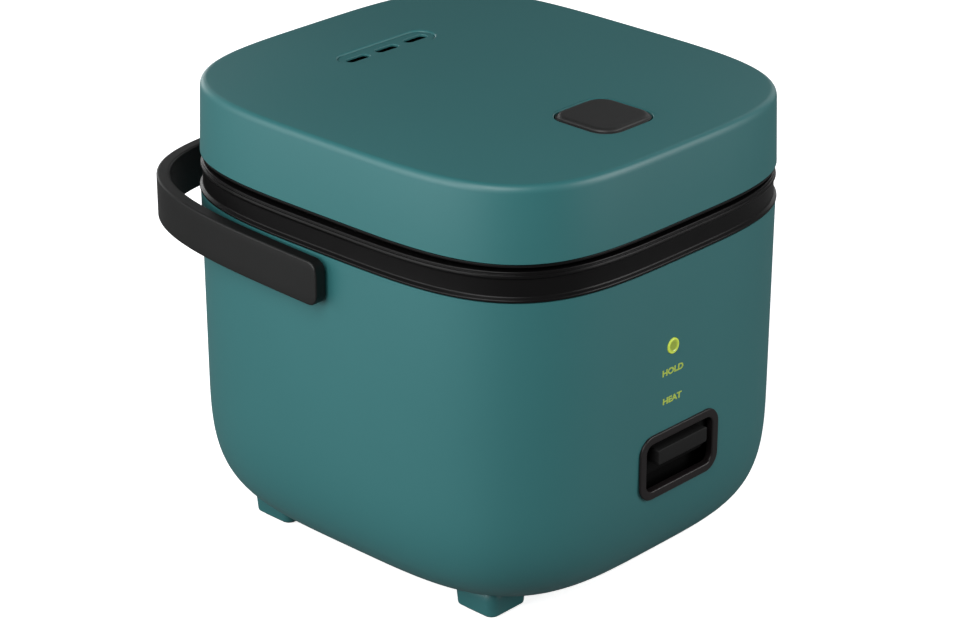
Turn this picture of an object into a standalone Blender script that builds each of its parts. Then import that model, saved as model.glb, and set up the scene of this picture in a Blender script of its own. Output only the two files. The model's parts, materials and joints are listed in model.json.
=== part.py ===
"""A small lever-switch rice cooker, built up from its separate pieces.

Units are metres, +Z is up, -Y is the front with the cook lever.  The origin lies
on the table under the middle of the whole object, carrying handle included.
Every piece is first drawn about the middle of the body, and the assembly empty
then moves them all so that the origin falls where it should.
"""

import math

import bmesh
import bpy
from mathutils import Matrix, Vector

MM = 0.001
GAP = 0.3 * MM

# Body shell: a superellipse in plan, slightly tapered, with a rounded foot.
BODY_HALF_X = 90.0 * MM
BODY_HALF_Y = 99.7 * MM
BODY_EXPONENT = 3.67
BODY_TAPER = 0.007
BODY_TOP = 142.4 * MM
BODY_BOTTOM = 9.0 * MM
BODY_WALL = 2.2 * MM
ROUND_HEIGHT = 58.0 * MM
ROUND_INSET = 0.5
ROUND_EXPONENT = 3.59
BASE_OPENING = 0.835
FLANGE_OPENING = 0.62
FLANGE_Z = 15.6 * MM
FLANGE_THICK = 2.0 * MM

# Feet, moulded with the base cover.
FOOT_X = 53.7 * MM
FOOT_FRONT_Y = -52.5 * MM
FOOT_REAR_Y = 59.5 * MM
FOOT_SIZE = 20.0 * MM
FOOT_FLARE = 1.6 * MM
FOOT_RADIUS = 4.5 * MM
PAD_HEIGHT = 1.2 * MM

# Lid.
LID_EXPONENT = 3.845
LID_EDGE_X = 88.65 * MM
LID_EDGE_Y = 99.16 * MM
LID_CREASE_X = 87.75 * MM
LID_CREASE_Y = 98.0 * MM
LID_BOTTOM = 157.3 * MM
LID_TOP = 186.9 * MM
LID_CROWN = 0.7 * MM
LID_WALL = 2.2 * MM
FRAME_BOTTOM = 155.9 * MM
FRAME_DECK = 157.6 * MM
HINGE_Y = 97.5 * MM
HINGE_Z = 152.5 * MM
HINGE_RADIUS = 3.0 * MM
HINGE_PIN_RADIUS = 1.4 * MM
HINGE_HALF = 26.0 * MM

# Rim ring between body and lid, and the well that the pot hangs in.
RIM_TOP = 154.3 * MM
WELL_RADIUS = 79.5 * MM
LEDGE_RADIUS = 75.2 * MM
LEDGE_Z = 150.8 * MM

# Pot, liner and heating plate.
POT_RADIUS = 72.5 * MM
POT_WALL = 1.5 * MM
POT_BOTTOM = 52.6 * MM
POT_CORNER = 9.0 * MM
POT_RIM_Z = 151.1 * MM
POT_FLANGE_RADIUS = 79.0 * MM
LINER_RADIUS = 75.9 * MM
LINER_WALL = 0.8 * MM
LINER_BOTTOM = 34.0 * MM
LINER_FLANGE_RADIUS = 80.8 * MM
PLATE_RADIUS = 62.0 * MM
PLATE_HOLE = 17.0 * MM
PLATE_TOP = 52.3 * MM
PLATE_BOTTOM = 47.5 * MM

# Steam vent in the lid.
VENT_Y = 54.0 * MM
VENT_LENGTH = 49.0 * MM
VENT_WIDTH = 12.5 * MM
VENT_SUNK = 0.4 * MM
VENT_THICK = 1.0 * MM
SLOT_PITCH = 16.0 * MM
SLOT_LENGTH = 11.6 * MM
SLOT_WIDTH = 4.4 * MM

# Lid button and latch.
BUTTON_Y = -59.0 * MM
BUTTON_SIZE = 30.0 * MM
BUTTON_RADIUS = 8.0 * MM
BUTTON_TOP = 188.3 * MM
BUTTON_DEEP = 5.2 * MM
LATCH_Y = -80.0 * MM
LATCH_Z = 165.0 * MM
LATCH_REACH = 16.2 * MM

# Cook lever behind its bezel in the front wall.
FRONT_Y = -99.3 * MM
LEVER_Z = 61.3 * MM
BEZEL_WIDTH = 45.5 * MM
BEZEL_HEIGHT = 26.6 * MM
BEZEL_BORDER = 3.5 * MM
BEZEL_RADIUS = 7.0 * MM
BEZEL_PROUD = 0.9 * MM
TAB_WIDTH = 28.4 * MM
TAB_HEIGHT = 6.2 * MM
TAB_Z = 65.4 * MM
TAB_FRONT = -101.5 * MM
LEVER_PIVOT_Y = -40.0 * MM
LEVER_PIVOT_Z = 28.6 * MM
BEAM_BOTTOM = 24.9 * MM
BEAM_THICK = 1.5 * MM

# Indicator window and rear power inlet.
LENS_X = -5.2 * MM
LENS_Z = 108.3 * MM
LENS_RADIUS = 3.1 * MM
INLET_Z = 62.0 * MM
INLET_WIDTH = 27.0 * MM
INLET_HEIGHT = 19.0 * MM

# Carrying handle: an arch in plan, stowed behind the body.
HANDLE_HALF_X = 96.5 * MM
HANDLE_REAR_Y = 119.0 * MM
HANDLE_CENTRE_Y = -20.0 * MM
HANDLE_EXPONENT = 4.44
HANDLE_THICK = 5.2 * MM
HANDLE_HEIGHT = 17.9 * MM
HANDLE_PIVOT_Y = 6.0 * MM
HANDLE_PIVOT_Z = 132.6 * MM
HANDLE_FRONT_Y = -4.1 * MM
HANDLE_TILT = 0.024
HANDLE_CORNER = 4.6 * MM

BODY_Y = -(TAB_FRONT + HANDLE_REAR_Y) / 2

SHELL_SEGMENTS = 40
ROUND_SEGMENTS = 32
SMALL_SEGMENTS = 12


# ---------------------------------------------------------------- drawing tools

def ellipse_ring(half_x, half_y, z, exponent=BODY_EXPONENT, centre=(0.0, 0.0), count=SHELL_SEGMENTS):
    """Points of a superellipse at height z; exponent 2 gives a plain ellipse."""
    points = []
    for step in range(count):
        turn = 2 * math.pi * (step + 0.5) / count
        across, along = math.cos(turn), math.sin(turn)
        x = half_x * math.copysign(abs(across) ** (2 / exponent), across)
        y = half_y * math.copysign(abs(along) ** (2 / exponent), along)
        points.append(Vector((centre[0] + x, centre[1] + y, z)))
    return points


def circle_ring(radius, z, centre=(0.0, 0.0), count=ROUND_SEGMENTS):
    """Points of a circle at height z."""
    return ellipse_ring(radius, radius, z, 2, centre, count)


def rectangle_ring(width, height, radius, z, centre=(0.0, 0.0), arc_steps=4):
    """Points of a rectangle with round corners at height z."""
    points = []
    for quarter, (side_x, side_y) in enumerate(((1, 1), (-1, 1), (-1, -1), (1, -1))):
        middle_x = centre[0] + side_x * (width / 2 - radius)
        middle_y = centre[1] + side_y * (height / 2 - radius)
        for step in range(arc_steps + 1):
            turn = math.pi / 2 * (quarter + step / arc_steps)
            offset = Vector((radius * math.cos(turn), radius * math.sin(turn), 0.0))
            points.append(Vector((middle_x, middle_y, z)) + offset)
    return points


def loft(rings, hollow=False):
    """Mesh through rings of equal count: capped at both ends, or joined end to start."""
    work = bmesh.new()
    loops = [[work.verts.new(point) for point in ring] for ring in rings]
    count = len(rings[0])
    pairs = list(zip(loops, loops[1:]))
    if hollow:
        pairs.append((loops[-1], loops[0]))
    else:
        work.faces.new(loops[0])
        work.faces.new(loops[-1])
    for low, high in pairs:
        for step in range(count):
            after = (step + 1) % count
            work.faces.new((low[step], low[after], high[after], high[step]))
    bmesh.ops.recalc_face_normals(work, faces=work.faces)
    mesh = bpy.data.meshes.new("lofted")
    work.to_mesh(mesh)
    work.free()
    return mesh


def turned(profile, centre=(0.0, 0.0), hollow=False, count=ROUND_SEGMENTS):
    """Mesh of a turned piece from (radius, z) pairs, about a vertical axis."""
    return loft([circle_ring(radius, z, centre, count) for radius, z in profile], hollow)


def cuboid(low, high):
    """Mesh of a plain block between two corners."""
    work = bmesh.new()
    bmesh.ops.create_cube(work, size=1.0)
    span = Vector(high) - Vector(low)
    bmesh.ops.scale(work, vec=span, verts=work.verts)
    bmesh.ops.translate(work, vec=Vector(low) + span / 2, verts=work.verts)
    mesh = bpy.data.meshes.new("block")
    work.to_mesh(mesh)
    work.free()
    return mesh


def rod_along_x(radius, low_x, high_x, y, z, count=SMALL_SEGMENTS):
    """Mesh of a round rod lying across the object."""
    mesh = turned([(radius, low_x), (radius, high_x)], count=count)
    mesh.transform(Matrix.Translation((0.0, y, z)) @ Matrix.Rotation(math.pi / 2, 4, "Y"))
    return mesh


def coil(radius, wire, low, high, turns, centre=(0.0, 0.0), sides=4, steps=8):
    """Mesh of a helical spring standing upright, with closed wire ends."""
    rings = []
    for step in range(int(turns * steps) + 1):
        turn = 2 * math.pi * step / steps
        rise = low + wire + (high - low - 2 * wire) * step / (turns * steps)
        outward = Vector((math.cos(turn), math.sin(turn), 0.0))
        middle = Vector((centre[0], centre[1], rise)) + outward * radius
        ring = []
        for side in range(sides):
            angle = 2 * math.pi * side / sides
            ring.append(middle + wire * (outward * math.cos(angle) + Vector((0, 0, math.sin(angle)))))
        rings.append(ring)
    return loft(rings)


def facing_front(mesh):
    """Turn a mesh drawn flat, with its face up, so that it faces the front."""
    mesh.transform(Matrix.Rotation(math.pi / 2, 4, "X"))
    return mesh


def facing_rear(mesh):
    """Turn a mesh drawn flat, with its face up, so that it faces the rear."""
    mesh.transform(Matrix.Rotation(math.pi, 4, "Z") @ Matrix.Rotation(math.pi / 2, 4, "X"))
    return mesh


def finish(name, colour, roughness, metallic=0.0):
    """A plain material with a base colour, a roughness and a metallic value."""
    material = bpy.data.materials.new(name)
    material.use_nodes = True
    shader = material.node_tree.nodes["Principled BSDF"]
    shader.inputs["Base Color"].default_value = (*colour, 1.0)
    shader.inputs["Roughness"].default_value = roughness
    shader.inputs["Metallic"].default_value = metallic
    return material


def empty_at(name, parent, location):
    """An empty that carries a moving body, placed on its joint's axis."""
    empty = bpy.data.objects.new(name, None)
    bpy.context.scene.collection.objects.link(empty)
    empty.parent = parent
    empty.location = location
    return empty


def piece(name, mesh, material, carrier):
    """Link a mesh drawn about the body's middle as a named piece on its carrier."""
    mesh.name = name
    mesh.transform(Matrix.Translation(-carrier.location) if carrier.parent else Matrix())
    mesh.shade_smooth()
    mesh.set_sharp_from_angle(angle=math.radians(35))
    mesh.materials.append(material)
    made = bpy.data.objects.new(name, mesh)
    bpy.context.scene.collection.objects.link(made)
    made.parent = carrier
    return made


def shape_with(made, mesh, operation):
    """Cut a mesh from a piece, or join it on, with an exact Boolean."""
    tool = bpy.data.objects.new(f"{made.name}_{operation.lower()}", mesh)
    bpy.context.scene.collection.objects.link(tool)
    mesh.transform(Matrix.Translation(-made.parent.location) if made.parent.parent else Matrix())
    tool.parent = made.parent
    tool.hide_render = True
    tool.display_type = "WIRE"
    modifier = made.modifiers.new(operation.title(), "BOOLEAN")
    modifier.operation = operation
    modifier.object = tool


def cut(made, mesh):
    """Cut a mesh from a piece."""
    shape_with(made, mesh, "DIFFERENCE")


def join(made, mesh):
    """Join a mesh onto a piece."""
    shape_with(made, mesh, "UNION")


# ------------------------------------------------------------------- body shell

def body_ring(z, inset=0.0):
    """Section of the body's upright wall at height z, moved in by a wall's thickness."""
    scale = 1 - BODY_TAPER * (BODY_TOP - z) / (BODY_TOP - BODY_BOTTOM)
    return ellipse_ring(BODY_HALF_X * scale - inset, BODY_HALF_Y * scale - inset, z)


def base_ring(turn, inset=0.0):
    """Section of the rounded foot of the body: turn 0 is its top, pi/2 the flat underside."""
    power = 2 / ROUND_EXPONENT
    z = BODY_BOTTOM + ROUND_HEIGHT * (1 - math.sin(turn) ** power)
    scale = 1 - BODY_TAPER * (BODY_TOP - z) / (BODY_TOP - BODY_BOTTOM)
    scale *= 1 - ROUND_INSET * (1 - math.cos(turn) ** power)
    level = z + inset * math.sin(turn)
    narrowing = inset * math.cos(turn) ** 0.5
    return ellipse_ring(BODY_HALF_X * scale - narrowing, BODY_HALF_Y * scale - narrowing, level)


def base_turn(scale):
    """Turn at which the rounded foot has narrowed to a share of the body's width."""
    across = (scale - 1 + ROUND_INSET) / ROUND_INSET
    return math.acos(across ** (ROUND_EXPONENT / 2))


def flat_ring(scale, z):
    """The body's outline scaled down, at height z."""
    return ellipse_ring(BODY_HALF_X * scale, BODY_HALF_Y * scale, z)


def outer_body(material, carrier):
    """Painted shell with a rebated flange under it, open at the top."""
    edge = base_turn(BASE_OPENING)
    turns = [edge * share for share in (0.02, 0.2, 0.42, 0.64, 0.83, 1.0)]
    outside = [body_ring(BODY_TOP)] + [base_ring(turn) for turn in turns]
    flange = [
        flat_ring(BASE_OPENING, FLANGE_Z),
        flat_ring(FLANGE_OPENING, FLANGE_Z),
        flat_ring(FLANGE_OPENING, FLANGE_Z + FLANGE_THICK),
        flat_ring(BASE_OPENING, FLANGE_Z + FLANGE_THICK),
    ]
    inside = [base_ring(turn, BODY_WALL) for turn in reversed(turns[:-1:2])]
    inside.append(body_ring(BODY_TOP, BODY_WALL))
    shell = piece("outer_body", loft(outside + flange + inside, hollow=True), material, carrier)
    window = facing_front(loft([
        rectangle_ring(BEZEL_WIDTH - 2.7 * MM, BEZEL_HEIGHT - 2.7 * MM, BEZEL_RADIUS, depth, (0, LEVER_Z))
        for depth in (90 * MM, 110 * MM)
    ]))
    cut(shell, window)
    cut(shell, facing_front(turned(
        [(LENS_RADIUS + GAP, 90 * MM), (LENS_RADIUS + GAP, 110 * MM)], (LENS_X, LENS_Z), count=SMALL_SEGMENTS)))
    cut(shell, facing_rear(loft([
        rectangle_ring(INLET_WIDTH + 0.8 * MM, INLET_HEIGHT + 0.8 * MM, 3 * MM, depth, (0, INLET_Z))
        for depth in (88 * MM, 110 * MM)
    ])))
    cut(shell, rod_along_x(3.8 * MM, -100 * MM, 100 * MM, HANDLE_PIVOT_Y, HANDLE_PIVOT_Z))
    for x, y in foot_places():
        cut(shell, turned([(1.7 * MM, 10 * MM), (1.7 * MM, 30 * MM)], (x, y), count=SMALL_SEGMENTS))


# ------------------------------------------------------------ base cover and feet

def foot_places():
    """Centres of the four feet: front left, front right, rear left, rear right."""
    return [(side * FOOT_X, y) for y in (FOOT_FRONT_Y, FOOT_REAR_Y) for side in (-1, 1)]


def base_cover(material, carrier):
    """Dished cover that closes the underside, with the four feet moulded on."""
    shares = (0.83, 0.75, 0.66)
    outside = [base_ring(base_turn(share)) for share in shares]
    inside = [[point + Vector((0, 0, BODY_WALL)) for point in ring] for ring in outside]
    cover = piece("base_cover", loft(outside[::-1] + inside), material, carrier)
    for x, y in foot_places():
        foot = [
            rectangle_ring(side, side, FOOT_RADIUS, z, (x, y), 2)
            for side, z in ((FOOT_SIZE, 1.5 * MM), (FOOT_SIZE + FOOT_FLARE, 9.6 * MM),
                            (FOOT_SIZE - 8 * MM, FLANGE_Z - GAP))
        ]
        join(cover, loft(foot))
    for x, y in foot_places():
        bore = [(3.4 * MM, 1 * MM), (3.4 * MM, 10 * MM), (1.8 * MM, 10 * MM), (1.8 * MM, 17 * MM)]
        cut(cover, turned(bore, (x, y), count=SMALL_SEGMENTS))
    for row in range(4):
        x = (row - 1.5) * 10 * MM
        slot = [rectangle_ring(3 * MM, 26 * MM, 1.4 * MM, z, (x, 40 * MM), 1) for z in (5 * MM, 15 * MM)]
        cut(cover, loft(slot))


def foot_pads(material, carrier):
    """Rubber pads glued under the feet; they carry the cooker."""
    names = ("front_left", "front_right", "rear_left", "rear_right")
    for name, place in zip(names, foot_places()):
        side = FOOT_SIZE - 3.6 * MM
        rings = [rectangle_ring(side, side, 3.4 * MM, z, place, 2) for z in (0.0, PAD_HEIGHT)]
        piece(f"foot_pad_{name}", loft(rings), material, carrier)


def base_screws(material, carrier):
    """Screws that go up through the feet into the shell's flange."""
    names = ("front_left", "front_right", "rear_left", "rear_right")
    for name, place in zip(names, foot_places()):
        profile = [(2.9 * MM, 7.6 * MM), (2.9 * MM, 9.7 * MM), (1.4 * MM, 9.7 * MM), (1.4 * MM, 21 * MM)]
        piece(f"base_screw_{name}", turned(profile, place, count=12), material, carrier)


# ------------------------------------------------------------------- rim and pot

def rim_ring(material, carrier):
    """Black ring on the shell's top edge: lip, waist, lip, deck and well for the pot."""
    def outline(narrower, z):
        return ellipse_ring(BODY_HALF_X - narrower * MM, BODY_HALF_Y - narrower * MM, z * MM)

    def well(radius, z):
        return circle_ring(radius, z, count=SHELL_SEGMENTS)

    fascia = [
        outline(2.6, 139.5), outline(2.6, 142.7), outline(-0.3, 142.7), outline(-0.3, 143.6),
        outline(0.7, 144.6), outline(0.7, 151.2), outline(0.1, 152.2), outline(0.7, 154.3),
    ]
    hollow = [
        well(WELL_RADIUS, RIM_TOP), well(WELL_RADIUS, LEDGE_Z), well(LEDGE_RADIUS, LEDGE_Z),
        well(LEDGE_RADIUS, LEDGE_Z - 2.3 * MM), well(WELL_RADIUS + 1.8 * MM, LEDGE_Z - 2.3 * MM),
        well(WELL_RADIUS + 1.8 * MM, RIM_TOP - 2.5 * MM), outline(3.6, 151.8), outline(4.6, 139.5),
    ]
    ring = piece("rim_ring", loft(fascia + hollow, hollow=True), material, carrier)
    join(ring, rod_along_x(HINGE_RADIUS, -HINGE_HALF - 1 * MM, HINGE_HALF + 1 * MM, HINGE_Y, HINGE_Z))
    cut(ring, cuboid((-12.5 * MM, 93.6 * MM, 148.4 * MM), (12.5 * MM, 104 * MM, 160 * MM)))
    cut(ring, rod_along_x(HINGE_PIN_RADIUS + GAP, -HINGE_HALF - GAP, HINGE_HALF + GAP, HINGE_Y, HINGE_Z))
    cut(ring, cuboid((-7.5 * MM, -95 * MM, 146 * MM), (7.5 * MM, -85.5 * MM, 160 * MM)))


def inner_liner(material, carrier):
    """Sheet metal cup that hangs under the rim and carries the heating plate."""
    outer, inner = LINER_RADIUS, LINER_RADIUS - LINER_WALL
    top = LEDGE_Z - 2.6 * MM
    floor = LINER_BOTTOM + LINER_WALL
    profile = [
        (10 * MM, LINER_BOTTOM), (outer - 4 * MM, LINER_BOTTOM), (outer, LINER_BOTTOM + 4 * MM),
        (outer, top - LINER_WALL), (LINER_FLANGE_RADIUS, top - LINER_WALL), (LINER_FLANGE_RADIUS, top),
        (inner, top), (inner, floor + 4 * MM), (inner - 4 * MM, floor), (10 * MM, floor),
    ]
    piece("inner_liner", turned(profile, hollow=True), material, carrier)


def inner_pot(material, carrier):
    """Lift-out cooking pot with a rolled rim, resting on the heating plate."""
    def corner(radius, bottom, bend, steps=3):
        arc = []
        for step in range(steps + 1):
            turn = math.pi / 2 * step / steps
            arc.append((radius - bend + bend * math.sin(turn), bottom + bend - bend * math.cos(turn)))
        return arc

    inner = POT_RADIUS - POT_WALL
    rim = [
        (POT_RADIUS, POT_RIM_Z), (POT_FLANGE_RADIUS, POT_RIM_Z), (POT_FLANGE_RADIUS, POT_RIM_Z + 1.2 * MM),
        (inner + 1 * MM, POT_RIM_Z + 1.2 * MM), (inner, POT_RIM_Z - 0.6 * MM),
    ]
    outside = corner(POT_RADIUS, POT_BOTTOM, POT_CORNER)
    inside = corner(inner, POT_BOTTOM + POT_WALL, POT_CORNER - POT_WALL)[::-1]
    piece("inner_pot", turned(outside + rim + inside), material, carrier)


def heating_parts(cast, steel, carrier):
    """Heating plate, the element clamped under it and the studs it stands on."""
    plate = [
        (PLATE_HOLE, PLATE_BOTTOM), (PLATE_RADIUS, PLATE_BOTTOM), (PLATE_RADIUS, PLATE_TOP - 1.5 * MM),
        (PLATE_RADIUS - 2 * MM, PLATE_TOP), (PLATE_HOLE, PLATE_TOP),
    ]
    piece("heating_plate", turned(plate, hollow=True), cast, carrier)
    rings = []
    for step in range(25):
        turn = math.radians(105 + 330 * step / 24)
        outward = Vector((math.cos(turn), math.sin(turn), 0.0))
        middle = outward * 45 * MM + Vector((0, 0, PLATE_BOTTOM - 4.1 * MM))
        ring = []
        for side in range(6):
            angle = 2 * math.pi * side / 6
            ring.append(middle + 3.6 * MM * (outward * math.cos(angle) + Vector((0, 0, math.sin(angle)))))
        rings.append(ring)
    piece("heating_element", loft(rings), steel, carrier)
    for number in range(3):
        turn = math.radians(30 + 120 * number)
        place = (54.5 * MM * math.cos(turn), 54.5 * MM * math.sin(turn))
        low, high = LINER_BOTTOM + LINER_WALL + GAP, PLATE_BOTTOM - GAP
        piece(f"plate_stud_{number + 1}", turned([(3.2 * MM, low), (3.2 * MM, high)], place, count=12),
              steel, carrier)


# ------------------------------------------------------- thermostat and cook lever

def thermostat(steel, spring_steel, carrier, cap_carrier, rod_carrier):
    """Magnetic thermostat: fixed cup, sprung cap under the pot, and the magnet on its rod."""
    floor = LINER_BOTTOM + LINER_WALL + GAP
    cup = [
        (3.0 * MM, floor), (19 * MM, floor), (19 * MM, floor + 1.2 * MM), (13.4 * MM, floor + 1.2 * MM),
        (13.4 * MM, 47 * MM), (12.2 * MM, 47 * MM), (12.2 * MM, floor + 1.3 * MM), (3.0 * MM, floor + 1.3 * MM),
    ]
    piece("thermostat_housing", turned(cup, hollow=True, count=24), steel, carrier)
    piece("thermostat_spring", coil(9.6 * MM, 0.6 * MM, floor + 1.6 * MM, 50 * MM, 4), spring_steel, carrier)
    cap = [
        (11.7 * MM, 42 * MM), (11.7 * MM, 50.6 * MM), (15.5 * MM, 50.6 * MM), (15.5 * MM, 51.6 * MM),
        (14.5 * MM, PLATE_TOP), (1 * MM, PLATE_TOP), (1 * MM, 50.3 * MM), (10.6 * MM, 50.3 * MM),
        (10.6 * MM, 42 * MM),
    ]
    piece("thermostat_cap", turned(cap, hollow=True, count=24), steel, cap_carrier)
    beam_top = BEAM_BOTTOM + BEAM_THICK
    rod = [(2 * MM, beam_top + GAP), (2 * MM, 38 * MM), (7 * MM, 38 * MM), (7 * MM, 42 * MM)]
    piece("magnet_rod", turned(rod, count=16), steel, rod_carrier)


def cook_lever(plastic, steel, carrier):
    """Paddle with its finger tab, and the steel beam that lifts the magnet rod."""
    window_low = LEVER_Z - BEZEL_HEIGHT / 2 + BEZEL_BORDER
    window_high = LEVER_Z + BEZEL_HEIGHT / 2 - BEZEL_BORDER
    pad_low, pad_high = window_low + 5.8 * MM, window_high - 0.35 * MM
    pad_width = BEZEL_WIDTH - 2 * BEZEL_BORDER - 0.8 * MM
    paddle = piece("cook_lever", cuboid((-22 * MM, -92.3 * MM, 46 * MM), (22 * MM, -90.5 * MM, 77.5 * MM)),
                   plastic, carrier)
    pad = [
        rectangle_ring(pad_width, pad_high - pad_low, 3.6 * MM, depth, (0, (pad_low + pad_high) / 2))
        for depth in (91.4 * MM, 96.8 * MM)
    ]
    join(paddle, facing_front(loft(pad)))
    tab = [
        rectangle_ring(TAB_WIDTH, TAB_HEIGHT, 1.2 * MM, 96 * MM, (0, TAB_Z), 2),
        rectangle_ring(TAB_WIDTH, TAB_HEIGHT, 1.2 * MM, -TAB_FRONT - 0.8 * MM, (0, TAB_Z), 2),
        rectangle_ring(TAB_WIDTH - 1.6 * MM, TAB_HEIGHT - 1.6 * MM, 0.8 * MM, -TAB_FRONT, (0, TAB_Z), 2),
    ]
    join(paddle, facing_front(loft(tab)))
    beam_top = BEAM_BOTTOM + BEAM_THICK
    for y_low, y_high, z_low, z_high in ((-91.9, -86.5, 36, 47), (-90.5, -78, 33, 37.5), (-83.5, -77, 0, 34)):
        low = (-5 * MM, y_low * MM, max(z_low * MM, beam_top + GAP))
        join(paddle, cuboid(low, (5 * MM, y_high * MM, z_high * MM)))
    beam = piece("lever_beam", cuboid((-4 * MM, -84 * MM, BEAM_BOTTOM), (4 * MM, 3 * MM, beam_top)),
                 steel, carrier)
    join(beam, rod_along_x(3.2 * MM, -4 * MM, 4 * MM, LEVER_PIVOT_Y, LEVER_PIVOT_Z))
    cut(beam, rod_along_x(1.5 * MM, -9 * MM, 9 * MM, LEVER_PIVOT_Y, LEVER_PIVOT_Z))


def lever_mount(steel, spring_steel, carrier):
    """Bracket, pivot pin and return spring of the cook lever, on the base cover."""
    floor = BODY_BOTTOM + BODY_WALL + GAP
    y_low, y_high = LEVER_PIVOT_Y - 5 * MM, LEVER_PIVOT_Y + 5 * MM
    bracket = piece("lever_bracket", cuboid((-10 * MM, y_low, floor), (10 * MM, y_high, floor + 1.2 * MM)),
                    steel, carrier)
    for side in (-1, 1):
        near, far = sorted((side * 6 * MM, side * 7.2 * MM))
        join(bracket, cuboid((near, y_low, floor + 0.5 * MM), (far, y_high, LEVER_PIVOT_Z + 4 * MM)))
    cut(bracket, rod_along_x(1.5 * MM, -15 * MM, 15 * MM, LEVER_PIVOT_Y, LEVER_PIVOT_Z))
    piece("lever_pin", rod_along_x(1.2 * MM, -9 * MM, 9 * MM, LEVER_PIVOT_Y, LEVER_PIVOT_Z, 12), steel, carrier)
    piece("lever_spring", coil(3 * MM, 0.5 * MM, floor, BEAM_BOTTOM - GAP, 5, (0, -58 * MM)),
          spring_steel, carrier)


def lever_bezel(material, carrier):
    """Frame of the lever window: a proud rounded border with a neck through the shell."""
    width, height = BEZEL_WIDTH, BEZEL_HEIGHT
    front = -FRONT_Y + BEZEL_PROUD
    seat = -FRONT_Y + 0.25 * MM
    inner_w, inner_h = width - 2 * BEZEL_BORDER, height - 2 * BEZEL_BORDER
    neck_w, neck_h = width - 3.5 * MM, height - 3.5 * MM
    spot = (0, LEVER_Z)
    rings = [
        rectangle_ring(neck_w, neck_h, BEZEL_RADIUS - 1 * MM, 97.2 * MM, spot),
        rectangle_ring(neck_w, neck_h, BEZEL_RADIUS - 1 * MM, seat, spot),
        rectangle_ring(width, height, BEZEL_RADIUS, seat, spot),
        rectangle_ring(width, height, BEZEL_RADIUS, front - 0.3 * MM, spot),
        rectangle_ring(width - 0.6 * MM, height - 0.6 * MM, BEZEL_RADIUS - 0.3 * MM, front, spot),
        rectangle_ring(inner_w + 1.2 * MM, inner_h + 1.2 * MM, BEZEL_RADIUS - 2.4 * MM, front, spot),
        rectangle_ring(inner_w, inner_h, BEZEL_RADIUS - 3 * MM, front - 1.0 * MM, spot),
        rectangle_ring(inner_w, inner_h, BEZEL_RADIUS - 3 * MM, 97.2 * MM, spot),
    ]
    piece("lever_bezel", facing_front(loft(rings, hollow=True)), material, carrier)


# --------------------------------------------------------------- electrical pieces

def electrics(black, steel, board, lens, wire, carrier):
    """Switch, thermostats, indicator, power inlet and the wires between them."""
    floor = BODY_BOTTOM + BODY_WALL + GAP
    switch = piece("microswitch", cuboid((11 * MM, -60 * MM, floor), (20 * MM, -42 * MM, 23 * MM)),
                   black, carrier)
    join(switch, cuboid((11.5 * MM, -54 * MM, 22.5 * MM), (14 * MM, -51 * MM, 24.5 * MM)))
    under = LINER_BOTTOM - GAP
    warm = [(8 * MM, under - 5 * MM), (8 * MM, under - 1 * MM), (10 * MM, under - 1 * MM), (10 * MM, under)]
    piece("keep_warm_thermostat", turned(warm, (38 * MM, 22 * MM), count=SMALL_SEGMENTS), black, carrier)
    piece("thermal_fuse", rod_along_x(2.4 * MM, -44 * MM, -28 * MM, 18 * MM, under - 2.5 * MM, 12),
          steel, carrier)
    card = cuboid((LENS_X - 8 * MM, -92.6 * MM, 92 * MM), (LENS_X + 8 * MM, -91 * MM, 116 * MM))
    piece("indicator_board", card, board, carrier)
    lamp = [(2.4 * MM, 92.9 * MM), (2.4 * MM, 95.2 * MM), (1.4 * MM, 96.2 * MM)]
    piece("indicator_lamp", facing_front(turned(lamp, (LENS_X, LENS_Z), count=12)), lens, carrier)
    window = [(LENS_RADIUS, 96.8 * MM), (LENS_RADIUS, 99.6 * MM), (LENS_RADIUS - 0.5 * MM, 100.0 * MM)]
    piece("indicator_lens", facing_front(turned(window, (LENS_X, LENS_Z), count=24)), lens, carrier)
    inlet_rings = [
        rectangle_ring(INLET_WIDTH, INLET_HEIGHT, 2.6 * MM, 80.5 * MM, (0, INLET_Z), 3),
        rectangle_ring(INLET_WIDTH, INLET_HEIGHT, 2.6 * MM, 99.7 * MM, (0, INLET_Z), 3),
        rectangle_ring(INLET_WIDTH + 5 * MM, INLET_HEIGHT + 5 * MM, 4 * MM, 99.7 * MM, (0, INLET_Z), 3),
        rectangle_ring(INLET_WIDTH + 5 * MM, INLET_HEIGHT + 5 * MM, 4 * MM, 101.4 * MM, (0, INLET_Z), 3),
        rectangle_ring(INLET_WIDTH - 4 * MM, INLET_HEIGHT - 4 * MM, 1.5 * MM, 101.4 * MM, (0, INLET_Z), 3),
        rectangle_ring(INLET_WIDTH - 4 * MM, INLET_HEIGHT - 4 * MM, 1.5 * MM, 82.5 * MM, (0, INLET_Z), 3),
    ]
    piece("power_inlet", facing_rear(loft(inlet_rings)), black, carrier)
    for name, x, z in (("live", 6.5, 60.2), ("neutral", -6.5, 60.2), ("earth", 0.0, 64.2)):
        low = ((x - 1) * MM, 82.8 * MM, (z - 2) * MM)
        high = ((x + 1) * MM, 95.5 * MM, (z + 2) * MM)
        piece(f"inlet_pin_{name}", cuboid(low, high), steel, carrier)
    routes = {
        "live_wire": [(6, 78.7, 60), (10, 78.9, 50), (14, 79, 36), (20, 70, 26), (26, 40, 22), (26, -10, 21),
                      (18, -34, 22)],
        "neutral_wire": [(-6, 78.7, 60), (-10, 78.9, 50), (-14, 79, 36), (-20, 70, 26), (-26, 46, 23),
                         (-27, 26, 28)],
    }
    for name, route in routes.items():
        path_wire(name, route, 1.1 * MM, wire, carrier)


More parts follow.
